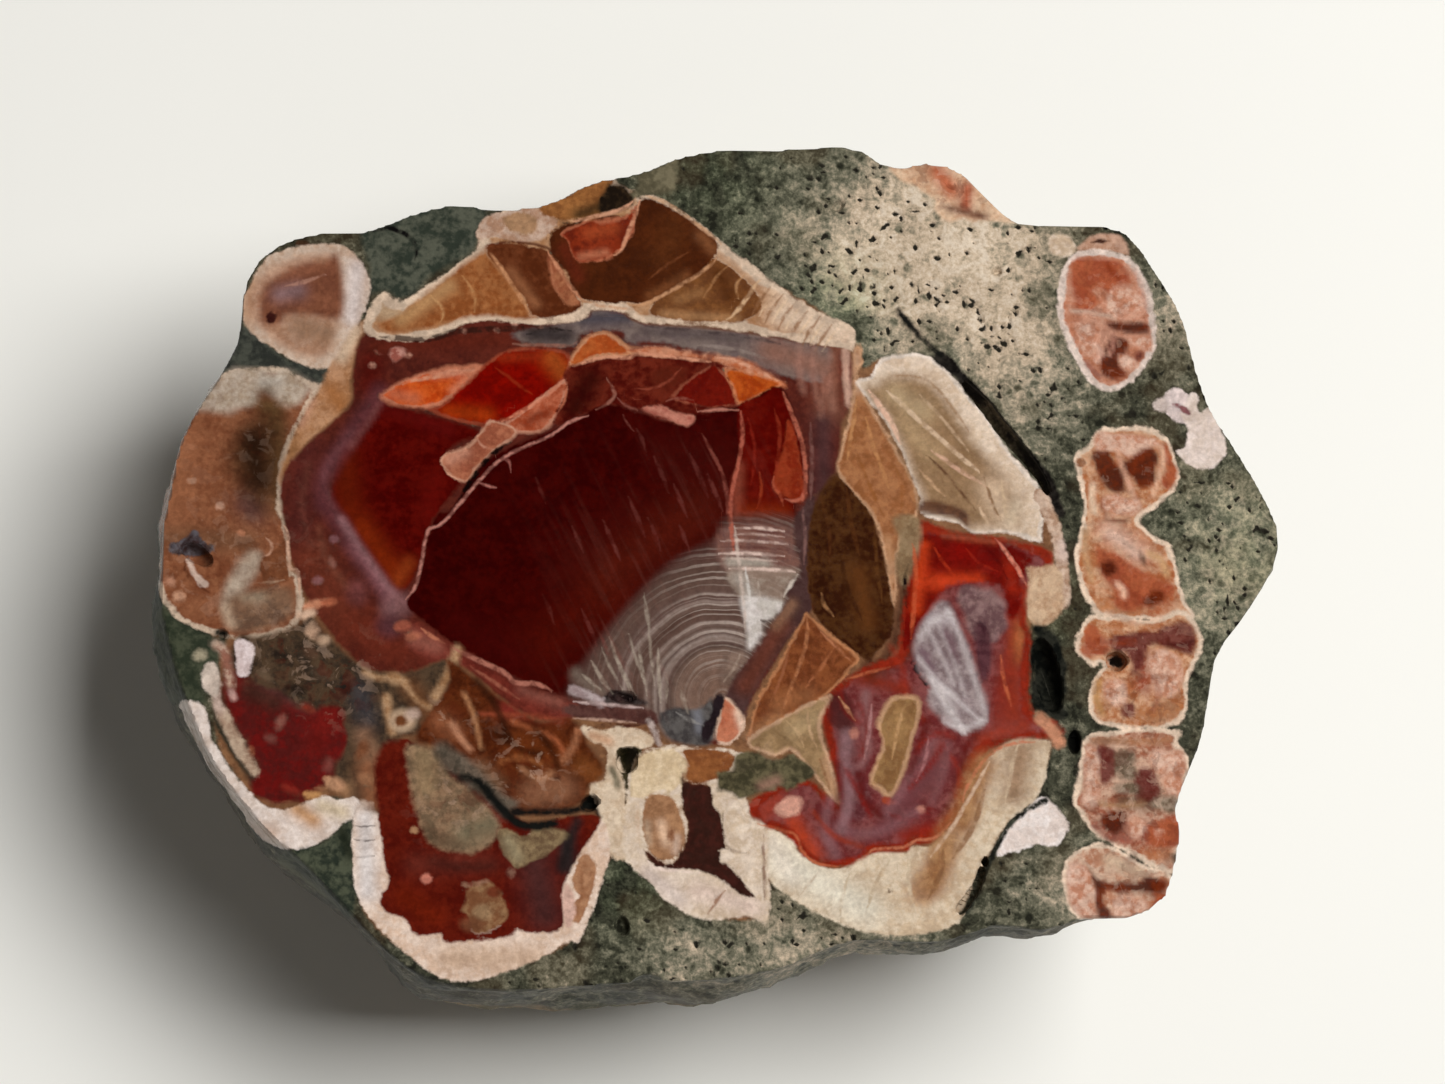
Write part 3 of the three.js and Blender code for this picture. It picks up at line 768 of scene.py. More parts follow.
def drawOverFan():
    for x, y, dx, dy, width, strength in [
        (-74, -40, 15, -41, 2.4, 0.6), (-61, -36, 11, -35, 2, 0.5), (-88, -56, 17, -27, 3, 0.65),
        (-80, -48, 16, -32, 2, 0.5), (-54, -44, 7, -39, 2.4, 0.6), (-47, -30, 5, -46, 2, 0.45),
        (-40, -46, 2, -44, 2.6, 0.6), (-95, -66, 16, -14, 3.6, 0.6), (-68, -56, 13, -28, 2, 0.55),
        (-50, -8, 5, -30, 3, 0.45), (-33, -64, -1, -26, 2.4, 0.5), (-24, -76, 6, -20, 4, 0.4)
    ]:
        vein([(x, y), (x + dx * 0.45, y + dy * 0.5), (x + dx, y + dy)], "#b2a494", width, strength)
    stroke([(-97, -68), (-89, -76), (-79, -80)], "#96887a", 9, soft=5, strength=0.6)
    # pink and white level bands in the corner, and the white rib below them
    patch([(12, 43), (54, 43), (58, 26), (60, 12), (12, 6), (1, 28)], "#865c50", "#78544e", soft=3,
        strength=0.85, glows=[(12, 16, 36, 15, 5, "#c4baac", 0.95)])
    patch([
        (10, 9), (60, 11), (53, -2), (48, -18), (34, -10), (20, -12)
    ], "#a09082", "#8e786a", soft=2.5, strength=0.9, glows=[(18, 4, 24, -6, 5, "#b8b0a6", 0.8)])
    patch([
        (19, -10), (48, -12), (46, -22), (36, -29), (34, -38), (24, -49), (22, -30)
    ], "#ded6d2", "#c4bcb4", soft=2.5, strength=0.95)
    patch([
        (9, -52), (21, -48), (22, -56), (15, -68), (8, -74), (4, -70)
    ], "#927a6c", "#786256", soft=3, strength=0.8)
    for x, y, reach, width, strength in [
        (13, 40, 39, 2.4, 0.8), (3, 30.5, 52, 2, 0.65), (2, 21.5, 49, 2.4, 0.9), (14, 35.5, 38, 1.6, 0.5),
        (10, 10.5, 50, 2.4, 0.85), (4, 17.5, 44, 1.4, 0.5)
    ]:
        vein([(x, y), (x + reach * 0.5, y + 0.6), (x + reach, y - 1.2)], "#e0c4b8", width, strength)
    for x, y, reach, width in ((13, 38, 39, 1.6), (3, 19.5, 52, 1.4), (4, 26, 50, 2)):
        vein([(x, y), (x + reach * 0.5, y + 0.6), (x + reach, y - 1.2)], "#5c342e", width, 0.7)
    each(vein, [
        ([(14, 44), (21, -14), (22, -36)], "#cebaae", 2.2, 0.7),
        ([(22, 14), (24, 0), (26, -16)], "#e2dcd6", 2.5, 0.7),
        ([(31, 4), (32, -8), (30, -20)], "#beb0a4", 2, 0.6),
        ([(61, 9), (54, -1), (49, -10)], "#d8ccc0", 3, 0.9),
        ([(31, -26), (36, -27), (41, -26)], "#504440", 2.4, 0.85),
        ([(19, -50), (13, -64), (6, -72)], "#b09c8c", 2.5, 0.6)
    ])
    # wall of the chamber right of the fan
    patch([
        (66, 62), (72, 58), (72, -10), (50, -44), (26, -84), (21, -103), (12, -114), (3, -108), (6, -84),
        (48, -18), (53, -2), (62, 10), (57, 41)
    ], "#503836", "#442c2a", soft=1.5,
        glows=[(48, -30, 22, -74, 8, "#683628", 0.9), (56, -14, 44, -30, 4, "#926a52", 0.8)])
    vein([(63, 58), (65, 36), (64, 14)], "#84605a", 2.2, 0.7)
    patch([
        (-82, -87), (-72, -78), (-64, -80), (-58, -82), (-46, -89), (-72, -89)
    ], "#241a1a", "#463c3a", gloss=0.3)
    patch([
        (-103, -90), (-70, -91), (-44, -93), (-40, -103), (-70, -102), (-104, -98)
    ], "#5c3c36", "#482a26", soft=1.5)
    stroke([(-99, -80), (-88, -83), (-80, -88)], "#b0a0a0", 8, second="#927e7e")
    vein([(-100, -88), (-68, -90), (-48, -92)], "#ceb6b2", 2.5, 0.8)
    vein([(-100, -100), (-76, -101), (-54, -102)], "#ceaa96", 2, 0.7)
    patch([
        (-39, -96), (-30, -114), (-2, -116), (0, -84), (-12, -92), (-26, -90)
    ], "#403c3c", "#5c5856", soft=2.5, glows=[(-12, -94, -10, -106, 3.5, "#808088", 0.8)])
    vein([(-28, -94), (-16, -100), (-6, -104)], "#96928e", 3, 0.6)
    patch([
        (7, -82), (18, -92), (22, -103), (12, -116), (1, -114), (2, -100)
    ], "#c47a5c", "#b26448", soft=1, rim=(2, "#e4c0a8"), glows=[(17, -94, 20, -104, 3, "#ecceb8", 0.9)])
    patch([(1, -82), (7, -82), (4, -96), (-5, -116), (-9, -106), (-3, -96)], "#261c20", soft=1.5)


def drawTopWedge():
    # brown and cream facets between the chamber and the far edge
    patch([
        (-244, 202), (-235, 208), (-228, 203), (-215, 207), (-173, 240), (-163, 264), (-90, 304),
        (-75, 304), (-66, 292), (-30, 279), (60, 210), (97, 192), (101, 175), (95, 174), (0, 188),
        (-50, 190), (-68, 199), (-87, 199), (-95, 192), (-125, 187), (-170, 188), (-210, 173), (-249, 177)
    ], "#b88e6c", "#a0724e", rim=(6, "#dec4ac"), ragged=1, glows=[
        (6, 252, 90, 188, 9, "#dec2a8", 0.9), (50, 199, 90, 186, 12, "#e6ccb4", 0.9),
        (-240, 196, -226, 190, 8, "#c4a888", 0.8)
    ])
    patch([
        (-240, 184), (-220, 196), (-172, 237), (-160, 240), (-134, 200), (-130, 191), (-170, 192),
        (-220, 179)
    ], "#884c26", "#a0663c", soft=3, ragged=1, glows=[(-224, 188, -190, 214, 6, "#be9264", 0.85)])
    patch([
        (-164, 244), (-120, 242), (-104, 218), (-96, 199), (-129, 192), (-136, 206)
    ], "#542611", "#68361e", soft=1.5, glows=[(-146, 226, -128, 202, 4, "#9e6644", 0.7)])
    patch([
        (-118, 238), (-102, 214), (-96, 204), (-104, 201), (-112, 210), (-118, 224)
    ], "#a46848", "#8e5036")
    patch([
        (-118, 243), (-106, 226), (-93, 206), (-40, 207), (-8, 230), (1, 254), (-46, 283), (-62, 270),
        (-80, 269), (-114, 259)
    ], "#4c220d", "#401c0b", ragged=0.6, glows=[
        (-28, 264, -36, 240, 12, "#5a2e15", 0.85), (-108, 244, -98, 224, 6, "#622414", 0.8),
        (-46, 210, -20, 226, 4, "#7e4c2c", 0.7), (-10, 256, 0, 246, 5, "#865434", 0.7)
    ])
    patch([
        (-112, 255), (-100, 263), (-68, 268), (-57, 279), (-55, 270), (-67, 243), (-96, 232), (-106, 248)
    ], "#842e16", "#621e10", rim=(1.6, "#ba6c4e"), ragged=2.2,
        glows=[(-90, 256, -72, 260, 5, "#a24626", 0.9), (-96, 238, -78, 242, 3, "#ba7254", 0.8)])
    patch([
        (-10, 228), (2, 240), (34, 210), (26, 197), (4, 192), (-48, 198)
    ], "#7c4e2a", "#683e22", soft=2, ragged=1, glows=[
        (-36, 197, 16, 195, 3.5, "#ac7e56", 0.85), (3, 229, 12, 210, 6, "#5c3216", 0.9),
        (-26, 208, -10, 214, 4, "#9c6e46", 0.7)
    ])
    each(vein, [
        ([(3, 242), (-8, 230), (-46, 206), (-62, 203)], "#c4926c", 2.6, 0.9),
        ([(-162, 242), (-142, 212), (-132, 194)], "#c48c64", 2.6, 0.9),
        ([(-120, 242), (-100, 212), (-92, 204)], "#ce8e6c", 3, 0.9),
        ([(-118, 236), (-114, 216), (-107, 202)], "#b47454", 2.2, 0.8),
        ([(-53, 283), (-66, 246), (-74, 240)], "#ce9070", 2.8, 0.95),
        ([(-104, 264), (-68, 274), (-56, 284)], "#ce987a", 2.8, 0.9),
        ([(-52, 286), (-30, 278), (6, 250)], "#c89c7a", 3, 0.8),
        ([(-164, 245), (-144, 248), (-122, 245), (-112, 238)], "#4e2214", 2.2, 0.8),
        ([(-48, 222), (-34, 234), (-18, 244)], "#7e482a", 2, 0.6),
        ([(34, 226), (16, 200), (8, 194)], "#d4ae88", 3, 0.9),
        ([(24, 230), (16, 220), (18, 208)], "#b4865c", 2.2, 0.8),
        ([(12, 236), (2, 226), (-8, 210)], "#aa7a50", 2, 0.7),
        ([(-204, 208), (-194, 196), (-196, 186)], "#c89868", 2.2, 0.7),
        ([(-182, 224), (-172, 208), (-172, 194)], "#c08c5c", 2.4, 0.7),
        ([(-168, 224), (-164, 214), (-156, 202)], "#804a26", 2, 0.6),
        ([(-96, 206), (-76, 201), (-54, 200)], "#c49270", 2.4, 0.8)
    ])
    for x, y in ((41, 220), (50, 215), (59, 209), (68, 203), (77, 199), (86, 194)):
        vein([(x, y), (x - 9, y - 13), (x - 14, y - 24)], "#8c6242", 2.8, 0.75)
        vein([(x + 4, y - 3), (x - 4, y - 14), (x - 9, y - 24)], "#dec0a0", 2, 0.7)
    # crust along the far edge
    patch([
        (-169, 249), (-167, 263), (-154, 271), (-120, 271), (-112, 262), (-122, 252), (-138, 249),
        (-153, 252)
    ], "#c4a896", "#a8826a", soft=1.5, ragged=2)
    spot(-139, 262, 13, 7.5, "#b28a68", turn=-10, ragged=1)
    patch([
        (-126, 276), (-108, 264), (-80, 274), (-74, 304), (-90, 310), (-115, 304)
    ], "#9e683a", "#7e4e2a", soft=2.5, ragged=2, glows=[(-98, 270, -82, 276, 5, "#40301c", 0.85)])
    patch([
        (-76, 282), (-56, 290), (-54, 310), (-30, 316), (-28, 294), (-34, 287), (-52, 285), (-62, 279)
    ], "#746c56", "#544e3c", soft=3, gloss=0.2)
    patch([
        (-82, 274), (-70, 273), (-58, 280), (-62, 292), (-74, 294), (-82, 284)
    ], "#1a120c", "#342618", soft=2, ragged=2, gloss=0)


def drawRightSide():
    # brown wedge, tan band and cream wedge right of the chamber
    patch([
        (89, 84), (102, 69), (112, 55), (129, -20), (115, -49), (106, -53), (70, -18), (69, 50)
    ], "#321508", "#4c2c14", rim=(1.2, "#54321c"), glows=[(102, 10, 109, -26, 8, "#623819", 0.8)])
    each(vein, [
        ([(76, 66), (82, 40), (82, 16)], "#542e16", 2.4), ([(94, 74), (98, 46), (104, 20)], "#563016", 3),
        ([(114, 46), (116, 14), (120, -14)], "#603a1c", 2.6),
        ([(76, -4), (78, -14), (86, -24)], "#aa7a50", 3), ([(90, 24), (96, -4), (106, -26)], "#32180a", 3)
    ], strength=0.7)
    patch([
        (89, 82), (91, 100), (99, 140), (100, 173), (105, 178), (107, 165), (105, 148), (147, 68),
        (133, 35), (128, -15), (116, 45)
    ], "#8e5834", "#a46e48", soft=1.4, rim=(2, "#cea07c"),
        glows=[(102, 168, 102, 146, 5, "#cea88a", 0.8), (124, 34, 127, 6, 3.5, "#be8e68", 0.8)])
    each(vein, [
        ([(95, 90), (99, 114), (102, 138)], "#c48e5e"), ([(108, 126), (116, 98), (126, 70)], "#c08858"),
        ([(102, 98), (112, 72), (122, 50)], "#8c542a"), ([(128, 92), (134, 76), (134, 56)], "#965c30")
    ], width=2.6, strength=0.7)
    patch([
        (102, 148), (113, 155), (125, 170), (165, 164), (216, 96), (235, 72), (235, 40), (232, 35),
        (205, 42), (185, 40), (175, 47), (149, 53), (146, 70), (125, 117)
    ], "#e4d0bc", "#d0b8a0", rim=(2.5, "#f2e2d4"), ragged=0.6)
    patch([
        (108, 145), (117, 149), (126, 155), (156, 150), (190, 103), (218, 69), (219, 45), (205, 46),
        (185, 44), (175, 51), (151, 58), (147, 72), (126, 118)
    ], "#967758", "#86684a", soft=8, ragged=1.2, glows=[
        (200, 72, 206, 58, 11, "#d6ba9e", 0.9), (130, 142, 150, 130, 9, "#bea480", 0.8),
        (212, 50, 218, 64, 5, "#d4c0a6", 0.8), (136, 120, 156, 100, 8, "#ba9c76", 0.7)
    ])
    # painted shade: a dark band along the top edge of the red chamber
    patch([
        (146, 56), (160, 53), (173, 51), (182, 45), (179, 57), (152, 64)
    ], "#46241a", "#603c28", soft=2, strength=0.9)
    each(vein, [
        ([(110, 146), (128, 119), (134, 103)], "#e2b8a0", 4, 0.9),
        ([(122, 146), (168, 104), (192, 84)], "#d6ba9e", 3.5, 0.8),
        ([(146, 144), (164, 124), (184, 100)], "#ceb294", 2.5, 0.6),
        ([(154, 102), (174, 88), (196, 74)], "#d4aa92", 3, 0.8),
        ([(151, 98), (166, 84), (188, 56)], "#5c3c26", 2, 0.9),
        ([(146, 88), (156, 76), (166, 66)], "#cca682", 2.5, 0.7),
        ([(193, 84), (198, 66), (206, 49)], "#7a5432", 2.4, 0.8),
        ([(188, 62), (194, 52), (196, 46)], "#d8ba9c", 2.6, 0.8),
        ([(206, 80), (208, 62), (210, 50)], "#ceb494", 2.4, 0.7),
        ([(126, 156), (156, 151), (184, 114)], "#967454", 2, 0.7)
    ])
    # the open crack behind it: near-black matte strokes, painted shade in a crack that the mesh does not
    # open
    stroke([(162, 170), (180, 153), (234, 86), (247, 58)], "#100d0c", 9.5, second="#2c2824", soft=1.5,
        gloss=0)
    stroke([(133, 204), (142, 192), (163, 171)], "#161614", 4.5, gloss=0)
    stroke([(234, 69), (245, 42), (250, 6), (248, -10)], "#d0b6a2", 9.5, second="#aa8870", soft=1.5,
        glows=[(250, 34, 250, 26, 5, "#dec4b8", 0.9)])

    stroke([(136, 6), (135, -14), (130, -36), (121, -53), (108, -59)], "#3e1e14", 8, second="#5c3c2a",
        soft=2.5, strength=0.9)
    # brown triangle below
    patch([
        (65, -19), (84, -36), (104, -52), (92, -68), (80, -80), (55, -96), (40, -109), (22, -116),
        (30, -85), (45, -60)
    ], "#864c2a", "#68341b", rim=(2.2, "#ba7e56"), straight=True,
        glows=[(46, -86, 66, -80, 8, "#9a623e", 0.8), (32, -106, 46, -98, 6, "#a87650", 0.8)])
    each(vein, [
        ([(66, -22), (65, -45), (48, -92)], "#b27650", 2.6),
        ([(74, -32), (90, -48), (100, -58)], "#b27452", 2.2),
        ([(86, -44), (76, -60), (64, -76)], "#a86844", 2.2),
        ([(54, -44), (48, -66), (40, -86)], "#965c3e", 2)
    ], strength=0.8)


def drawRedChamber():
    patch([
        (152, 49), (165, 43), (230, 33), (242, 20), (226, -3), (222, -23), (226, -36), (225, -87),
        (244, -96), (246, -106), (196, -116), (178, -144), (175, -160), (155, -184), (140, -186),
        (135, -191), (112, -192), (102, -200), (71, -201), (47, -178), (33, -176), (26, -157), (64, -140),
        (85, -157), (87, -142), (76, -90), (99, -63), (128, -50), (132, -36), (144, 38)
    ], "#682828", "#804644", soft=2, rim=(6, "#8e2614"), glows=[
        (150, 18, 150, -24, 8, "#a62c10", 0.9), (216, 0, 212, -90, 7, "#92341e", 0.9),
        (220, -26, 216, -50, 5, "#b06438", 0.9), (210, -50, 204, -94, 8, "#8a2c1c", 0.8),
        (104, -66, 134, -74, 6, "#882c1a", 0.85), (112, -60, 134, -46, 8, "#542814", 0.9),
        (90, -94, 96, -120, 6, "#6e4a4c", 0.8), (56, -172, 70, -194, 7, "#b84224", 0.9),
        (34, -168, 44, -154, 7, "#a63e2a", 0.85), (135, -180, 166, -172, 6, "#922414", 0.9),
        (190, -110, 220, -100, 7, "#a03a24", 0.8), (124, -166, 156, -132, 9, "#704044", 0.8)
    ])
    patch([
        (143, 38), (200, 36), (228, 24), (220, 8), (220, -12), (212, -22), (206, -10), (204, 2), (166, 1),
        (137, -46), (134, -30), (140, 14)
    ], "#700c06", "#5c0603", soft=3, glows=[
        (174, 28, 190, 22, 8, "#7a0803", 0.9), (150, 30, 144, -16, 4.5, "#c43c16", 0.9),
        (156, 4, 188, 5, 6, "#c83e1a", 0.9), (210, 18, 214, 0, 5, "#98220e", 0.8),
        (164, 39, 200, 35, 2.5, "#aa5034", 0.8)
    ])
    each(vein, [
        ([(200, 38), (210, 26), (224, 2)], "#d6846e", 3, 0.9),
        ([(141, 34), (144, 10), (140, -40)], "#ba5430", 3, 0.8),
        ([(156, 32), (164, 18), (174, 6)], "#b0341a", 2.2, 0.7),
        ([(178, 32), (188, 20), (204, 12)], "#962212", 2.2, 0.7),
        ([(190, 34), (202, 22), (210, 6)], "#500202", 3, 0.7)
    ])
    patch([
        (128, 50), (144, 52), (148, 34), (136, 0), (129, 16), (132, 34)
    ], "#927c5e", "#7a6246", soft=2, strength=0.9)
    vein([(139, 18), (136, 4), (137, -16)], "#180c0a", 3)
    patch([
        (223, 14), (234, 15), (244, 19), (249, 4), (246, -16), (228, -26)
    ], "#ceb092", "#b28e70", soft=1.5, ragged=2)
    patch([
        (174, -6), (186, 1), (206, -8), (208, -22), (200, -38), (184, -35)
    ], "#684a4c", "#8a6c6a", soft=3, ragged=2.5)
    patch([
        (185, -26), (195, -27), (198, -44), (195, -64), (189, -66), (186, -46)
    ], "#3c1e26", "#543036", soft=1.5, strength=0.95)
    # milky crystal heart
    patch([
        (156, -14), (170, -16), (195, -88), (178, -104), (152, -86), (153, -73), (144, -58), (143, -36)
    ], "#7e6c6e", "#a29292", soft=3, ragged=1, glows=[
        (156, -24, 168, -22, 5, "#b6aaac", 0.8), (148, -46, 154, -58, 4, "#6e505a", 0.8),
        (162, -74, 169, -90, 4, "#c4baba", 0.8), (166, -34, 172, -50, 3.5, "#6a4a52", 0.8)
    ])
    for route, width, strength in [
        ([(166, -16), (176, -38), (192, -90)], 3, 0.6), ([(146, -52), (162, -72), (189, -96)], 3.5, 0.65),
        ([(154, -66), (164, -84), (177, -104)], 5, 0.75), ([(147, -36), (156, -24), (168, -19)], 4.5, 0.6),
        ([(152, -30), (162, -50), (170, -70)], 2.5, 0.5), ([(159, -26), (170, -52), (178, -78)], 2, 0.45),
        ([(164, -97), (178, -102), (192, -95)], 4, 0.8), ([(154, -76), (164, -74), (172, -79)], 4, 0.6)
    ]:
        stroke(route, "#d8cece", width, strength=strength)
    stroke([(142, -55), (145, -63), (151, -71)], "#180a0c", 3.4, soft=1.2)
    stroke([(126, -44), (134, -60), (136, -76), (148, -96)], "#a0321e", 3, soft=3, strength=0.7)

    # cream islands
    patch([
        (82, -79), (76, -102), (88, -146), (86, -157), (57, -122), (42, -124), (24, -112)
    ], "#9e805c", "#866a4a", rim=(2.5, "#c8a080"),
        glows=[(56, -106, 70, -96, 7, "#b29670", 0.8), (80, -126, 84, -150, 3.5, "#c49674", 0.8)])
    each(vein, [
        ([(40, -104), (52, -112), (62, -120)], "#745a3e"), ([(66, -88), (68, -106), (74, -120)], "#c4a07c"),
        ([(50, -98), (60, -108), (64, -120)], "#bc9c76"), ([(74, -124), (78, -136), (83, -152)], "#8c6042")
    ], width=2.2, strength=0.8)
    patch([
        (84, -79), (94, -78), (99, -90), (98, -102), (88, -104), (80, -96)
    ], "#4e1e1c", soft=2, strength=0.85)
    vein([(88, -80), (94, -89), (101, -99)], "#be8864", 2.6)
    patch([
        (127, -80), (145, -80), (145, -96), (132, -142), (124, -153), (116, -147), (109, -142), (119, -115),
        (116, -99)
    ], "#98744c", "#825c38", rim=(2.8, "#cca07a"), ragged=1,
        glows=[(132, -90, 132, -110, 4.5, "#ae8658", 0.8)])
    vein([(136, -84), (130, -104), (126, -126)], "#c0966a", 2.4, 0.8)
    spot(123, -155, 5, 3, "#ac462a", turn=-20, soft=1.5)
    patch([
        (89, -132), (100, -128), (112, -156), (104, -170), (92, -166), (88, -150)
    ], "#5c2e32", "#764e50", soft=2.5, strength=0.8)
    each(stroke, [
        ([(94, -108), (92, -128), (96, -150), (90, -176)], "#967074", 8),
        ([(82, -156), (78, -176), (86, -194)], "#8a5e62", 7),
        ([(122, -164), (146, -126), (154, -110)], "#8c5c60", 7),
        ([(166, -114), (162, -134), (154, -156)], "#845456", 6),
        ([(108, -78), (106, -96), (109, -116), (104, -130)], "#966c6c", 5),
        ([(186, -104), (178, -118), (174, -136)], "#621610", 6),
        ([(139, -134), (146, -116), (150, -98)], "#60140e", 6),
        ([(102, -136), (106, -154), (118, -166)], "#5c120c", 6),
        ([(88, -128), (89, -146), (86, -164)], "#641610", 4.5)
    ], strength=0.75, soft=3)
    spot(53, -161, 10, 6.5, "#dea490", turn=20, ragged=1.5)
    spot(146, -161, 3.5, 3, "#d28c78")
    spot(99, -107, 3, 3.5, "#c48070")
    each(stroke, [
        ([(89, -78), (94, -92), (104, -100)], "#801e16", 3),
        ([(94, -134), (102, -150), (110, -166)], "#841a12", 3),
        ([(138, -146), (152, -130), (162, -114)], "#8a1e16", 3),
        ([(144, -116), (158, -106), (170, -108)], "#8c281e", 3),
        ([(104, -86), (108, -106), (104, -124)], "#82221a", 2.6),
        ([(126, -166), (140, -168), (154, -160)], "#7e1a12", 3),
        ([(168, -122), (174, -136), (170, -154)], "#962c1e", 3),
        ([(70, -164), (84, -180), (104, -188)], "#96341e", 3.5)
    ], strength=0.8)
    stroke([(88, -174), (104, -179), (124, -174), (144, -162)], "#8c6268", 7, soft=5, strength=0.6)
    each(vein, [
        ([(30, -173), (56, -180), (62, -192), (72, -200), (88, -203)], "#be6442", 2),
        ([(104, -197), (114, -190), (134, -188), (142, -183), (156, -181), (168, -169)], "#be7454", 2),
        ([(176, -156), (180, -142), (194, -122), (208, -113), (230, -110)], "#c47454", 2.2),
        ([(112, -84), (110, -106), (106, -126)], "#b0807e", 2.4),
        ([(152, -106), (150, -124), (142, -142)], "#a87070", 2.4),
        ([(204, -46), (206, -66), (212, -88)], "#ba603e", 2.4),
        ([(92, -68), (106, -64), (126, -58)], "#b26240", 2.4)
    ], strength=0.85)

    # cream foot of the chamber
    patch([
        (33, -177), (55, -184), (61, -194), (86, -205), (112, -193), (135, -192), (140, -187), (155, -185),
        (175, -161), (178, -145), (206, -112), (234, -109), (239, -114), (229, -150), (209, -167),
        (186, -206), (185, -216), (165, -245), (106, -249), (39, -214)
    ], "#dccab2", "#c8b094", glows=[
        (218, -118, 212, -146, 11, "#98765a", 0.9), (188, -130, 176, -170, 7, "#9c6e4a", 0.9),
        (162, -186, 154, -214, 10, "#966a46", 0.9), (50, -200, 106, -232, 14, "#eae2d0", 0.9),
        (40, -186, 54, -210, 8, "#ece0d0", 0.8)
    ])
    stroke([(192, -128), (159, -197), (146, -219)], "#92623c", 21, second="#b2865c", soft=7, strength=0.8)
    each(vein, [
        ([(196, -124), (170, -170), (152, -196)], "#e0c4ac", 2.5, 0.6),
        ([(192, -144), (184, -170), (168, -196)], "#865c3c", 4, 0.8),
        ([(162, -184), (160, -204), (150, -226)], "#80583a", 3.5, 0.7),
        ([(124, -196), (114, -214), (106, -238)], "#aa9070", 2.5, 0.6),
        ([(74, -206), (66, -216), (60, -224)], "#b0967e", 2.2, 0.6),
        ([(96, -206), (90, -224), (88, -240)], "#b8a084", 3, 0.6),
        ([(216, -112), (210, -132), (206, -156)], "#d4bea2", 3, 0.7),
        ([(140, -192), (136, -210), (142, -234)], "#d6c4aa", 3, 0.7)
    ])
    stroke([(232, -94), (240, -102), (244, -110)], "#ce9070", 9, soft=2.5)
    vein([(35, -178), (35, -200), (36, -226)], "#8c6c5c", 1.6, 0.8)
    spot(124, -219, 1.6, 1.4, "#583c2c", soft=0.8)
    patch([
        (230, -152), (239, -154), (251, -170), (242, -185), (227, -184), (204, -193), (200, -188),
        (207, -174)
    ], "#f0e6e2", "#decec6", ragged=1.2)
    stroke([(236, -152), (208, -172), (178, -234)], "#1a1a16", 3.5, second="#3c3e34", soft=1.5, gloss=0)


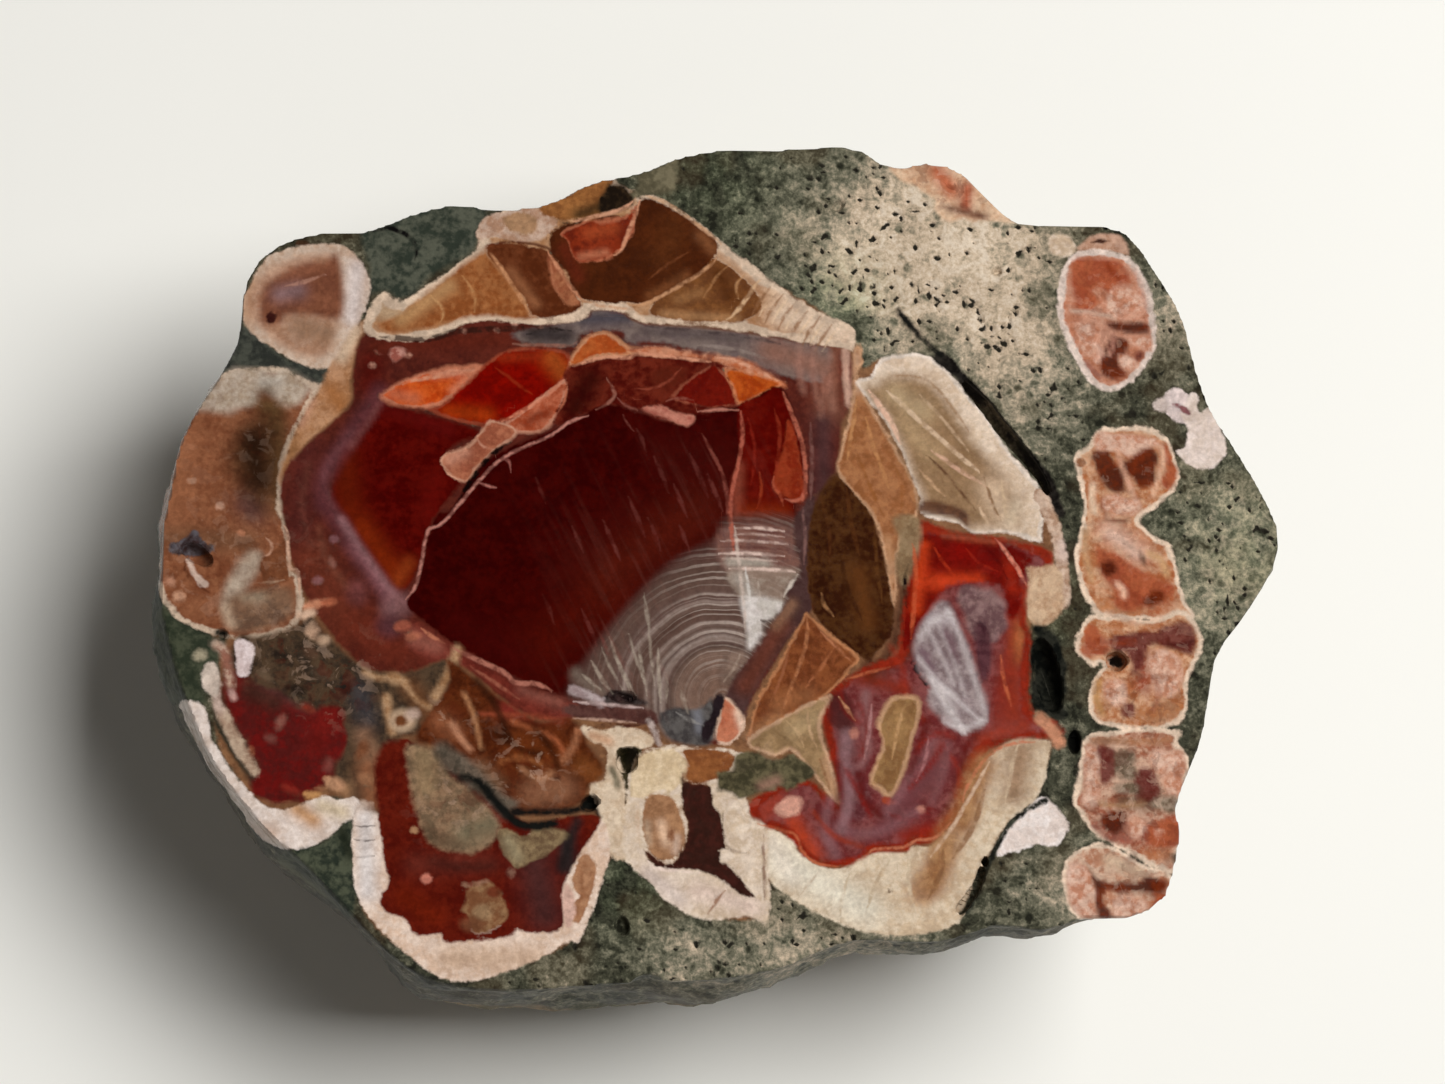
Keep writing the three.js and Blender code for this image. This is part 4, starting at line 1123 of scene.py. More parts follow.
def drawLowerLeft():
    # mottled ground between the chamber and the crescent bubble
    patch([
        (-336, -47), (-322, -46), (-295, -37), (-284, -29), (-276, -40), (-246, -66), (-216, -69),
        (-187, -58), (-180, -66), (-190, -96), (-204, -112), (-224, -120), (-229, -164), (-250, -172),
        (-262, -158), (-278, -152), (-310, -164), (-340, -124), (-348, -90)
    ], "#503e2e", "#322820", soft=3, glows=[
        (-250, -84, -244, -104, 9, "#3e3c40", 0.8), (-246, -116, -239, -132, 7, "#966e55", 0.8),
        (-242, -140, -238, -160, 9, "#966042", 0.9), (-306, -159, -260, -156, 7, "#bc8c66", 0.85),
        (-214, -80, -202, -96, 8, "#744a2e", 0.8)
    ])
    patch([
        (-344, -82), (-342, -101), (-320, -134), (-323, -146), (-323, -159), (-314, -165), (-287, -161),
        (-274, -152), (-259, -123), (-262, -98), (-273, -94), (-284, -98), (-332, -74)
    ], "#681412", "#541816", soft=3, ragged=3.5, glows=[
        (-272, -102, -278, -122, 10, "#721a16", 0.85), (-316, -80, -286, -94, 6, "#583a38", 0.7),
        (-326, -84, -310, -92, 8, "#462a22", 0.85)
    ])
    each(spot, [
        (-304, -106, 3, 6, "#966054"), (-312, -118, 4, 2.5, "#804a42"), (-286, -96, 5, 2.5, "#963c2c"),
        (-326, -130, 3, 5, "#92543c"), (-270, -136, 3.5, 5, "#8c4a42"), (-296, -154, 6, 2.5, "#963428"),
        (-316, -74, 6, 3, "#685442"), (-294, -82, 7, 3, "#281e18"), (-274, -72, 8, 4, "#584436"),
        (-258, -82, 4, 5, "#2a221e"), (-306, -58, 7, 3.5, "#2c221c"), (-284, -56, 5, 3.5, "#604636"),
        (-266, -150, 7, 4, "#c49270"), (-280, -159, 8, 3.5, "#ba8858"), (-248, -126, 4, 7, "#7e4e34"),
        (-244, -146, 5, 4, "#a67454")
    ], turn=-20, ragged=1.5)
    # crescent shell
    patch([
        (-379, -95), (-379, -115), (-358, -160), (-326, -190), (-304, -197), (-275, -192), (-250, -172),
        (-251, -159), (-262, -161), (-274, -159), (-304, -169), (-324, -158), (-350, -124), (-358, -96)
    ], "#e8dad2", "#d6c4b8", glows=[
        (-292, -168, -280, -176, 7, "#c49060", 0.9), (-274, -166, -260, -170, 6, "#d6c2a4", 0.9),
        (-326, -186, -310, -186, 7, "#ceac96", 0.7)
    ])
    patch([
        (-352, -96), (-349, -112), (-324, -148), (-324, -136), (-343, -108), (-346, -94)
    ], "#2a2820", "#3e362a", soft=2, gloss=0.2)
    stroke([(-349, -80), (-348, -96), (-322, -142)], "#bca48e", 8, second="#9e826e",
        glows=[(-349, -80, -348, -96, 6, "#dec4b8", 0.8)])
    patch([
        (-357, -66), (-350, -66), (-348, -76), (-349, -88), (-355, -86), (-360, -79)
    ], "#deccbe", soft=1.5, ragged=1.5)
    patch([
        (-337, -50), (-326, -51), (-325, -64), (-329, -74), (-335, -72), (-336, -60)
    ], "#e4d4d4", "#cebab8", soft=1.5, ragged=1.5)
    stroke([(-350, -52), (-344, -58), (-340, -80)], "#ceb09c", 7, second="#966454", soft=2.5, strength=0.9)
    spot(-361, -60, 5, 3.5, "#a69c84", turn=20, soft=2.5)
    spot(-338, -88, 2.2, 4, "#deb2a8", turn=20, soft=1.5)
    spot(-353, -92, 2.5, 2, "#d8c8b0", soft=1.5)
    spot(-347, -44, 4.5, 3, "#1e1e18", gloss=0)

    # dark triangle between the crescent and the middle bubble
    patch([
        (-253, -176), (-250, -231), (-260, -246), (-305, -220), (-320, -204), (-275, -193)
    ], "#282e26", "#4e5242", soft=2, gloss=0,
        glows=[(-310, -208, -276, -234, 5, "#74725c", 0.8), (-260, -184, -254, -200, 5, "#1c2016", 0.8)])
    # cream wisps above the middle bubble
    for route, width in [
        ([(-246, -70), (-234, -74), (-223, -72), (-210, -88), (-200, -94)], 3.5),
        ([(-181, -52), (-188, -72), (-196, -86)], 7), ([(-230, -88), (-229, -99), (-226, -112)], 6),
        ([(-226, -75), (-218, -76)], 6)
    ]:
        stroke(route, "#be9874", width, second="#a07652", soft=2.5, strength=0.9)
    spot(-219, -104, 9.5, 8.5, "#c0a286", soft=2.5)
    spot(-220, -104, 4, 4, "#704226")
    spot(-212, -99, 5, 4, "#ccb0a0", soft=3)
    each(spot, [
        (-282, -22, 9, 3.5, "#ce8c6c"), (-288, -29, 7, 3, "#d8b49a"), (-283, -40, 5, 6, "#c4a086"),
        (-275, -47, 5, 3.5, "#ccaa8e"), (-272, -20, 6, 3, "#b06448"), (-220, -36, 6, 3.5, "#aa5c48"),
        (-212, -43, 6, 3, "#b06850"), (-269, 26, 3, 2.5, "#8c5c60"), (-280, -4, 3.5, 2.5, "#966464"),
        (-270, 9, 2, 4, "#926054")
    ], turn=15, soft=2.5)


def drawMiddleBubble():
    # brown ground that runs down from the chamber
    patch([
        (-187, -60), (-160, -80), (-125, -102), (-104, -100), (-94, -106), (-89, -118), (-77, -136),
        (-88, -150), (-96, -162), (-124, -169), (-144, -164), (-178, -139), (-194, -122), (-210, -116),
        (-188, -80)
    ], "#5c2a12", "#441b0a", soft=2.5, glows=[
        (-146, -94, -110, -94, 8, "#7e2c24", 0.9), (-134, -122, -110, -130, 13, "#703616", 0.8),
        (-126, -154, -106, -150, 11, "#906248", 0.85), (-92, -134, -82, -140, 8, "#7c4622", 0.8),
        (-192, -104, -184, -110, 8, "#965c3e", 0.8), (-164, -138, -154, -148, 7, "#7e5c44", 0.8)
    ])
    each(stroke, [
        ([(-142, -103), (-114, -114), (-106, -124)], "#b0623e", 3),
        ([(-164, -98), (-126, -99), (-108, -102)], "#9c4a32", 2.5),
        ([(-136, -136), (-124, -144), (-114, -140)], "#a67454", 4),
        ([(-96, -108), (-99, -120), (-106, -130)], "#b27452", 4),
        ([(-184, -106), (-178, -116), (-172, -123)], "#c68c6c", 5),
        ([(-168, -74), (-154, -92), (-144, -116)], "#38190c", 5),
        ([(-154, -110), (-138, -122), (-122, -126)], "#3c1a0b", 4.5),
        ([(-126, -108), (-116, -120), (-110, -136)], "#401c0c", 4),
        ([(-176, -84), (-169, -100), (-164, -122)], "#c48c62", 2.5),
        ([(-150, -132), (-136, -129), (-122, -133)], "#aa683e", 2.5)
    ], strength=0.85)
    spot(-111, -142, 3.5, 2, "#381a10", soft=1.2)
    # the bubble with its shell
    patch([
        (-252, -169), (-247, -233), (-203, -278), (-173, -288), (-131, -276), (-103, -259), (-92, -254),
        (-73, -199), (-72, -178), (-79, -172), (-90, -180), (-97, -196), (-110, -186), (-236, -170),
        (-240, -164)
    ], "#e8d2c2", "#d6b8a2",
        glows=[(-244, -174, -242, -226, 8, "#e2dad8", 0.9), (-186, -272, -126, -270, 10, "#d2b298", 0.8)])
    patch([
        (-236, -126), (-224, -118), (-203, -123), (-134, -174), (-110, -172), (-80, -172), (-105, -217),
        (-105, -249), (-132, -253), (-137, -250), (-146, -256), (-184, -261), (-191, -255), (-207, -256),
        (-216, -245), (-233, -236), (-226, -217), (-229, -210), (-238, -148)
    ], "#621a0d", "#501008", soft=1.4, ragged=0.6, glows=[
        (-208, -206, -160, -204, 9, "#682c22", 0.7), (-126, -204, -118, -240, 14, "#4c2a28", 0.9),
        (-104, -188, -100, -206, 7, "#2e2424", 0.9), (-216, -230, -196, -242, 9, "#701e0a", 0.8)
    ])
    # two grey brown beans, and near-black matte strokes over them: painted shade in an open gap that the
    # mesh does not have
    patch([
        (-213, -120), (-192, -129), (-184, -143), (-171, -152), (-150, -177), (-156, -191), (-172, -197),
        (-201, -188), (-216, -136)
    ], "#92745a", "#6a5642", soft=2.5, ragged=1, glows=[
        (-204, -128, -202, -150, 8, "#987e5e", 0.8), (-174, -184, -158, -178, 10, "#706852", 0.8),
        (-200, -186, -180, -192, 5, "#524232", 0.7)
    ])
    patch([
        (-153, -182), (-143, -180), (-133, -186), (-123, -178), (-99, -184), (-134, -206), (-143, -204)
    ], "#907a5a", "#6a543e", soft=2, ragged=1, glows=[(-144, -188, -138, -200, 5, "#9c8e70", 0.8)])
    patch([
        (-196, -124), (-184, -122), (-150, -152), (-136, -162), (-150, -170), (-162, -158), (-188, -138)
    ], "#62564a", "#463e34", soft=3.5, gloss=0.8, ragged=2)
    stroke([(-178, -144), (-166, -147), (-140, -174), (-124, -177), (-112, -175)], "#161614", 6, gloss=0)
    stroke([(-140, -168), (-98, -166), (-89, -160), (-80, -168)], "#181412", 5, gloss=0)
    spot(-87, -161, 7.5, 6, "#141412", turn=30, gloss=0)
    stroke([(-96, -174), (-102, -190), (-106, -206)], "#282222", 8, soft=3.5, strength=0.9)
    # ring eye and small spots
    patch([
        (-173, -224), (-160, -216), (-152, -221), (-144, -241), (-158, -254), (-168, -254), (-171, -244),
        (-177, -238), (-173, -232)
    ], "#926e4e", "#764c32", soft=3, ragged=1.2)
    stroke([(-175, -220), (-166, -219), (-159, -217)], "#a07660", 3, soft=1.5)
    spot(-154, -225, 5.5, 4, "#703824")
    spot(-162, -239, 7, 6, "#a68462", soft=3)
    spot(-169, -248, 8, 5, "#7a4c34", soft=3, strength=0.8)
    spot(-201, -216, 4.2, 4, "#c67a68")
    spot(-210, -182, 2.8, 2.5, "#ba8c68", soft=1.5)
    spot(-142, -211, 3, 3, "#8c6454")
    stroke([(-196, -204), (-174, -208), (-154, -206)], "#461e18", 6, soft=4, strength=0.7)
    # tan inclusion in the shell, and cracks across its left side
    patch([
        (-93, -198), (-86, -200), (-83, -214), (-94, -246), (-101, -236), (-95, -226), (-99, -216)
    ], "#966648", "#ac7e5e", soft=2)
    patch([(-105, -220), (-100, -222), (-97, -236), (-100, -248), (-105, -246)], "#e2baaa", soft=1.5)
    for height in (-179, -189, -201):
        vein([(-253, height), (-246, height - 1), (-236, height)], "#342420", 1.4, 0.85)


def drawSmallBubbles():
    # cream column between the middle and the small bubble
    patch([
        (-94, -106), (-78, -109), (-65, -105), (-45, -111), (-43, -118), (-58, -128), (-59, -170),
        (-54, -186), (-62, -201), (-73, -198), (-74, -180), (-88, -149), (-77, -143), (-76, -121),
        (-86, -117)
    ], "#decab2", "#c8b096", ragged=0.8, glows=[(-86, -112, -74, -116, 4, "#c49270", 0.8)])
    stroke([(-46, -101), (-42, -109), (-39, -118)], "#c4b2ac", 4)
    vein([(-90, -109), (-80, -105), (-50, -104)], "#46261c", 3)
    patch([
        (-66, -120), (-50, -122), (-57, -138), (-60, -169), (-63, -147), (-68, -127)
    ], "#1e1c10", "#3e3624", ragged=0.8, gloss=0)
    stroke([(-72, -136), (-69, -142), (-68, -148)], "#706a54", 4.5, strength=0.9)
    # shell of the small bubble
    patch([
        (-58, -132), (-36, -119), (16, -122), (22, -130), (24, -164), (36, -190), (39, -240), (22, -239),
        (-3, -242), (-30, -231), (-62, -201), (-73, -198), (-64, -184)
    ], "#deccba", "#ceb8a0", ragged=0.6,
        glows=[(-46, -210, -24, -228, 8, "#e6d4ca", 0.9), (-10, -222, 26, -232, 8, "#e4ccbe", 0.9)])
    patch([
        (-54, -128), (-29, -121), (-19, -134), (-30, -153), (-36, -151), (-58, -156)
    ], "#e0caaa", "#ceb694", soft=2, ragged=1)
    patch([
        (-47, -156), (-30, -155), (-20, -178), (-24, -194), (-36, -200), (-45, -195), (-50, -178)
    ], "#aa7e5c", "#92684a", soft=2, ragged=0.8, glows=[
        (-37, -174, -34, -188, 3.5, "#e4bea0", 0.95), (-26, -184, -27, -194, 3, "#d0b29e", 0.9),
        (-47, -174, -46, -188, 3, "#bea288", 0.8)
    ])
    spot(-30, -182, 2.5, 4.5, "#926246", soft=1.5)
    patch([
        (-21, -121), (14, -124), (6, -139), (-6, -144), (-21, -142), (-17, -133)
    ], "#945c34", "#7c4828", soft=2.5, ragged=1.5)
    # its dark hollow
    patch([
        (-22, -139), (-19, -144), (-4, -146), (-1, -160), (4, -166), (8, -190), (4, -195), (30, -228),
        (-6, -208), (-38, -206), (-50, -192), (-35, -202), (-27, -200), (-19, -182), (-23, -158)
    ], "#401e18", "#321a14", ragged=0.6)
    # lobes on its right
    patch([
        (11, -155), (16, -153), (23, -166), (38, -179), (35, -224), (30, -227), (12, -203), (4, -201),
        (6, -190), (11, -192), (7, -172)
    ], "#ceb8a0", "#e0cebc", soft=1.5, ragged=0.8)
    each(vein, [
        ([(7, -186), (13, -193), (24, -194)], "#543a2a", 2.6),
        ([(9, -220), (3, -227), (-5, -239)], "#96705a", 3),
        ([(34, -186), (35, -206), (36, -228)], "#a08c78", 2.5),
        ([(-47, -199), (-40, -206), (-8, -209)], "#e8d2c6", 2.5),
        ([(-53, -158), (-54, -174), (-52, -189)], "#ceb096", 3)
    ], strength=0.9)
    # blocky ground left of the red chamber
    patch([
        (2, -138), (12, -135), (16, -124), (30, -121), (44, -125), (58, -124), (70, -139), (25, -154),
        (12, -150), (3, -149)
    ], "#625a42", "#3a3626", soft=2, gloss=0.1, ragged=3, glows=[(34, -146, 44, -142, 4, "#967060", 0.8)])


def drawRightBubbles():
    # oval bubble near the corner
    patch([
        (242, 256), (246, 264), (258, 264), (262, 254), (254, 249), (245, 250)
    ], "#decab6", "#c4ac92", soft=1.5, ragged=1.5)
    patch([
        (264, 252), (270, 262), (284, 266), (296, 262), (300, 250), (284, 252)
    ], "#c49e88", "#aa8068", soft=2, ragged=1)
    patch([
        (270, 254), (252, 236), (250, 196), (272, 153), (296, 151), (318, 179), (318, 216), (302, 248)
    ], "#b6765a", "#c8947c", rim=(4.5, "#e8d4c8"), ragged=0.8)
    vein([(272, 259), (279, 260), (288, 261)], "#3e221a", 3.5)
    # pink and orange bubble on the far edge
    patch([
        (126, 316), (134, 304), (157, 290), (160, 281), (170, 274), (204, 273), (220, 280), (206, 310),
        (170, 330), (130, 330)
    ], "#debea0", "#c69c7c", soft=2, ragged=2, glows=[
        (162, 310, 172, 296, 7, "#be603e", 0.9), (184, 298, 182, 284, 5, "#a84a2c", 0.9),
        (170, 282, 196, 276, 3, "#5c3226", 0.8)
    ])
    # small ring and white oval near the right corner
    spot(335, 138, 10, 13.5, "#e8d6d2", turn=10, soft=1.2, ragged=1.8)
    patch([
        (344, 148), (349, 146), (350, 134), (359, 136), (368, 114), (366, 100), (348, 90), (332, 104),
        (340, 109), (342, 122), (336, 132)
    ], "#e4d4cc", "#d2c0b4", ragged=1.2)
    spot(322, 138, 6, 5, "#e2d0c8", soft=1.5, ragged=1.5)
    stroke([(332, 139), (337, 137), (343, 133)], "#88585a", 4, soft=1.2)

    # chain of bubbles down the right side
    fill, other, rim = "#ac6a42", "#d2a684", (3.2, "#f0d6be")
    patch([
        (258, 96), (270, 108), (282, 121), (322, 119), (334, 90), (325, 69), (304, 52), (328, 32),
        (336, -2), (344, -16), (330, -22), (290, -19), (272, -17), (258, 18), (265, 66)
    ], fill, other, rim=rim, ragged=1.4, glows=[
        (284, 44, 304, 28, 10, "#deb4a0", 0.8), (300, 0, 316, -2, 18, "#9e4624", 0.8),
        (286, 88, 310, 94, 14, "#964c28", 0.7), (300, -20, 276, -14, 7, "#c4885e", 0.7)
    ])
    patch([
        (271, -18), (257, -37), (268, -55), (276, -54), (267, -73), (276, -98), (330, -96), (339, -64),
        (349, -35), (336, -14), (310, -20)
    ], fill, other, rim=rim, ragged=1.4,
        glows=[(306, -52, 306, -68, 8, "#8c3e30", 0.8), (330, -84, 304, -90, 7, "#aa6e46", 0.7)])
    patch([
        (262, -110), (274, -102), (328, -100), (330, -110), (336, -120), (338, -144), (332, -162),
        (330, -194), (316, -201), (259, -166), (260, -122)
    ], "#9c6048", "#cca890", rim=rim, ragged=1.6, glows=[
        (280, -168, 310, -176, 10, "#964230", 0.7), (290, -152, 316, -154, 6, "#564232", 0.8),
        (307, -192, 320, -190, 6, "#b46c42", 0.8)
    ])
    patch([
        (247, -198), (266, -184), (283, -185), (308, -200), (320, -200), (324, -222), (289, -241),
        (253, -235)
    ], "#b27a5e", "#d6b69e", rim=rim, ragged=1, glows=[
        (254, -206, 259, -228, 7, "#e2ccc2", 0.9), (280, -195, 300, -202, 6, "#ceb49a", 0.9),
        (312, -214, 318, -226, 7, "#863e20", 0.9)
    ])
    for colour, second, pieces in [
        ("#a85838", "#964226", [
            [(260, 226), (260, 238), (267, 246), (293, 247), (300, 229), (286, 222), (270, 224)],
            [(260, 222), (273, 222), (282, 216), (274, 210), (262, 210)],
            [(324, 110), (330, 100), (331, 88), (326, 76), (322, 84), (325, 98)],
            [(261, -34), (268, -26), (283, -36), (276, -46), (266, -49)],
            [(273, 26), (279, 30), (321, 9), (328, 3), (311, -10), (291, -11), (284, 2), (275, 14)],
            [(306, -183), (309, -169), (321, -163), (330, -166), (330, -184)],
            [(308, -228), (316, -218), (322, -222), (314, -230)],
        ]),
        ("#68240c", "#461608", [
            [(274, 102), (286, 102), (298, 74), (281, 77), (276, 88)],
            [(294, 94), (301, 98), (306, 105), (315, 106), (318, 87), (307, 76), (301, 83)],
            [(284, 199), (315, 201), (315, 194), (304, 191), (290, 194)],
            [(281, 178), (289, 187), (300, 184), (291, 168), (300, 161), (292, 157), (282, 160),
             (278, 170)],
            [(275, 20), (284, 22), (288, 14), (280, 10)],
            [(306, -6), (316, 0), (320, -4), (310, -10)],
            [(266, -202), (274, -209), (314, -209), (316, -217), (278, -218), (279, -234), (270, -233)],
            [(276, -162), (290, -160), (292, -172), (284, -178), (275, -172)],
        ]),
        ("#5a2220", "#6c342e", [
            [(280, -34), (314, -28), (332, -22), (343, -26), (342, -46), (326, -40), (310, -41), (306, -56),
             (298, -58), (296, -44), (286, -41)],
            [(272, -114), (284, -115), (284, -134), (274, -138)],
            [(301, -128), (314, -132), (314, -149), (300, -147)],
            [(292, -84), (298, -84), (298, -90), (291, -90)],
            [(303, 178), (310, 179), (310, 173), (305, 171)],
        ]),
        ("#debaa6", "#ba7c60", [
            [(276, 116), (290, 118), (320, 113), (318, 108), (306, 107), (298, 100), (290, 104),
             (276, 105)],
            [(281, 69), (304, 69), (304, 59), (282, 59)],
            [(288, 223), (302, 224), (312, 216), (313, 208), (296, 205), (286, 208)],
            [(260, 198), (274, 194), (279, 184), (272, 175), (265, 180)],
            [(300, 189), (313, 188), (314, 180), (304, 181)],
            [(293, 174), (302, 172), (308, 166), (298, 163)],
            [(311, -42), (320, -41), (334, -50), (334, -66), (324, -78), (312, -70), (310, -56)],
            [(280, -66), (290, -66), (293, -76), (286, -83), (279, -76)],
            [(263, -116), (271, -116), (272, -148), (263, -156)],
            [(310, -119), (331, -116), (334, -142), (326, -148), (316, -132)],
            [(294, -164), (306, -164), (304, -178), (294, -180)],
            [(312, -170), (319, -172), (313, -176)],
            [(249, -206), (264, -202), (269, -236), (254, -232)],
            [(282, -223), (302, -221), (306, -229), (286, -236)],
        ]),
        ("#9e8c7a", "#5c4c3a", [
            [(285, -118), (299, -117), (300, -134), (286, -136)],
            [(286, -140), (299, -140), (299, -146), (285, -145)],
            [(316, -150), (330, -149), (326, -158), (312, -156)],
        ]),
        ("#34261c", "#4c3a2c", [
            [(305, 30), (310, 26), (308, 19), (304, 24)],
            [(320, -189), (330, -188), (328, -196)],
        ]),
    ]:
        for outline in pieces:
            patch(outline, colour, second, soft=2, strength=0.95, ragged=2.8)
    each(stroke, [
        ([(322, 107), (323, 95), (315, 71)], "#f0c4a6", 3),
        ([(290, 104), (294, 90), (302, 69)], "#deac92", 3),
        ([(272, 78), (271, 68), (273, 58)], "#f4d8bc", 3.5),
        ([(280, 53), (290, 52), (298, 53)], "#824a36", 2.5),
        ([(279, 68), (278, 62), (281, 57)], "#92543c", 3), ([(266, 44), (266, 26), (270, 8)], "#c49870", 5),
        ([(284, 42), (294, 36), (302, 28)], "#e2bca8", 6),
        ([(312, 28), (320, 24), (324, 14)], "#d4a87a", 5), ([(289, 5), (293, 1), (293, -3)], "#f6c8ac", 4),
        ([(280, -16), (300, -22), (320, -19)], "#debaa0", 3),
        ([(273, -36), (286, -38), (300, -36)], "#8e381c", 3),
        ([(324, -39), (334, -38), (342, -36)], "#421416", 2.5),
        ([(314, -62), (317, -74), (312, -86)], "#9c624c", 3),
        ([(274, -66), (272, -78), (276, -89)], "#c6925c", 5),
        ([(302, -90), (316, -94), (328, -88)], "#ae7c5c", 3),
        ([(270, -109), (310, -109), (324, -107)], "#aa7656", 5),
        ([(274, -154), (288, -156), (304, -153)], "#ac8260", 4),
        ([(269, -170), (279, -178), (292, -180)], "#9c5848", 5),
        ([(259, 207), (274, 206), (289, 203)], "#dcc0ac", 2.5),
        ([(289, 189), (288, 182), (285, 175)], "#d69882", 2.2),
        ([(276, 182), (279, 176), (276, 170)], "#f0c4b0", 3),
        ([(269, 168), (273, 163), (278, 159)], "#926054", 4),
        ([(304, 240), (310, 226), (313, 210)], "#cea696", 3),
        ([(285, 242), (288, 238), (292, 234)], "#963c1e", 5)
    ], strength=0.9, soft=1.6)
    spot(263, 94, 3.5, 3.5, "#9e6c4e", soft=1.2)
    spot(287, -52, 7.5, 5.5, "#141010", soft=1.2, ragged=1, gloss=0)
    # black hollow rock beside the red chamber
    patch([
        (228, -26), (247, -42), (250, -80), (248, -96), (234, -90), (227, -76)
    ], "#0c0e0c", "#282822", soft=2, ragged=3, gloss=0)
    vein([(231, -50), (237, -68), (242, -86)], "#7e7a6e", 3, 0.8)
    spot(256, -110, 4.5, 10, "#0e0e0c", gloss=0)


drawSeams()
drawLeftBubbles()
drawTanBand()
drawGreatChamber()
drawFanGround()
drawOverFan()
print("chamber drawn on", len(layers), "layers")
drawTopWedge()
drawRightSide()
drawRedChamber()
drawLowerLeft()
drawMiddleBubble()
drawSmallBubbles()
drawRightBubbles()
print("pattern drawn on", len(layers), "layers with", len(veinLayers), "of veins")


# Stony ground, pores and rind
ground = {
    "seed": 12,
    # pale and green places on the stony ground, in mm on the drawing: x, y, reach, amount
    "pale": [(11.5, 21.8, 4.4, 0.85), (14, 27, 6, 0.9), (20, 24, 6, 1.0), (22, 17, 4.5, 0.7),
             (38, 5, 6, 0.52), (36, -1, 4, 0.4), (24, -22, 4, 0.45), (5, -26, 4, 0.6), (12, -27, 4, 0.5),
             (-2, -27, 3.5, 0.55), (-11, -29, 3, 0.35), (5, 27.5, 4, 0.25), (33, 20, 3.5, 0.6),
             (24, 12, 3, 0.25), (10.2, 19.6, 1.5, -0.5), (23.5, 21.4, 1.7, -0.4), (16, 19.4, 1.4, -0.25)],
    "green": [(38, 3, 6, 0.5), (9, 21, 3, 0.7), (0, 30, 5, 0.5), (-37, -6, 4, 0.3), (24, -1, 3, 0.5),
              (-6, -22, 3, 0.6)],
    # where fine straight streaks run through the windows
    "streaked": [(-6.5, -6.5, 3.5, 1.0), (-4, 3, 6, 0.35), (1, 7, 3, 0.3)],
    # where the fill is broken up by small dark and pale knots
    "busy": [(29.5, 5, 6, 0.45), (30.5, -6.5, 4.5, 0.6), (30, -15, 5, 0.8), (29.5, -21, 3, 0.4),
             (28.5, 20, 5, 0.5), (17, 30, 4, 0.8), (-13, -13.4, 2.4, 0.8),
             (-18.6, -9.8, 1.5, 0.7), (-26.5, -7.5, 2.6, 0.8), (-18, -16, 2.4, 0.6),
             (-35, 0, 5, 0.35), (-34, 12, 4, 0.3), (-30, -5.4, 2, 0.6), (3, -13.5, 2.4, 0.5)],
    # filled bubbles that show in the rind: place from the stone's middle, reach
    "skins": [((-30, 22, 20), 7.4), ((-38, 6, 15), 7.6), ((-33, -13, 16), 7.4), ((-17, -28, 15), 8.4),
              ((1, -27, 12), 6.0), ((32.5, -21.5, 21), 5.6), ((34.5, -9, 16), 5.6), ((16, 30, 21), 5.6),
              ((36, 6, 13), 6.4), ((-7, 27, 12), 7.4), ((27, 23, 13), 6.0), ((12, -20, 6), 6.4),
              ((-22, 16, 6), 7.0), ((-27, -8, 5), 6.0), ((19, 13, 3), 6.4)],
    "skinWander": 3.4,               # how far noise moves the edges of those, and of the rind itself
    "rindWander": 3.0,
    "rindBlend": 1.2,
    "wander": (2.2, 31),             # size and seed of that noise
    "cutWithin": 0.05,               # depth that still counts as the cut
    "stonyFrom": 0.25,               # distance from the patches where the ground is wholly stony
}


def blend(low, high, values):
    share = np.clip((values - low) / (high - low), 0, 1)
    return share * share * (3 - 2 * share)


def amountNear(places):
    total = np.zeros(pointCount)
    for x, y, reach, amount in places:
        total += amount * np.exp(-((across - x) ** 2 + (along - y) ** 2) / reach ** 2)
    return np.clip(total, 0, 1)


def addField(name, values):
    kind = "FLOAT" if values.ndim == 1 else "FLOAT_COLOR"
    field = agate.data.attributes.new(name, kind, "POINT")
    field.data.foreach_set("value" if values.ndim == 1 else "color", values.astype(np.float32).ravel())


drawnEdge = np.min([layer["edge"] for layer in layers], axis=0)
onCut = depths < ground["cutWithin"]
stony = blend(0.0, ground["stonyFrom"], drawnEdge) * onCut
random = np.random.default_rng(ground["seed"])
poreEdge = np.full(pointCount, drawn["noPatch"])
cutPoints = np.nonzero(onCut & (drawnEdge > stone["poreClear"]))[0]
paleness = amountNear(ground["pale"])
clusters = lumps(across[cutPoints], along[cutPoints], *stone["poreClusters"]) ** 2
anywhere, onPale, inClusters = stone["poreOdds"]
odds = anywhere + paleness[cutPoints] * (onPale + inClusters * clusters)
for centre in random.choice(cutPoints, stone["pores"], replace=False, p=odds / odds.sum()):
    size = random.uniform(*stone["poreSizes"])
    stretch = random.uniform(*stone["poreStretch"])
    dx, dy = across[shallow] - across[centre], along[shallow] - along[centre]
    close = (np.abs(dx) < stone["poreReach"]) & (np.abs(dy) < stone["poreReach"])
    near = shallow[close]
    poreEdge[near] = np.minimum(poreEdge[near], np.hypot(dx[close] * stretch, dy[close] / stretch) - size)

press = stone["poreDepth"] * blend(*stone["poreLip"], poreEdge) * onCut
for depth, size, seed in stone["facePitting"]:
    press += depth * stony * lumps(across, along, size, seed)
moved = points.copy()
moved[:, 2] -= press
moved = np.clip(moved * millimetre, boxLow, boxHigh)
agate.data.vertices.foreach_set("co", moved.ravel())
agate.data.update()

skinEdge = np.min([np.linalg.norm(points - place, axis=1) - reach for place, reach in ground["skins"]], 0)
wander = lumps(points[:, 0] + points[:, 2], points[:, 1] - points[:, 2], *ground["wander"]) - 0.5

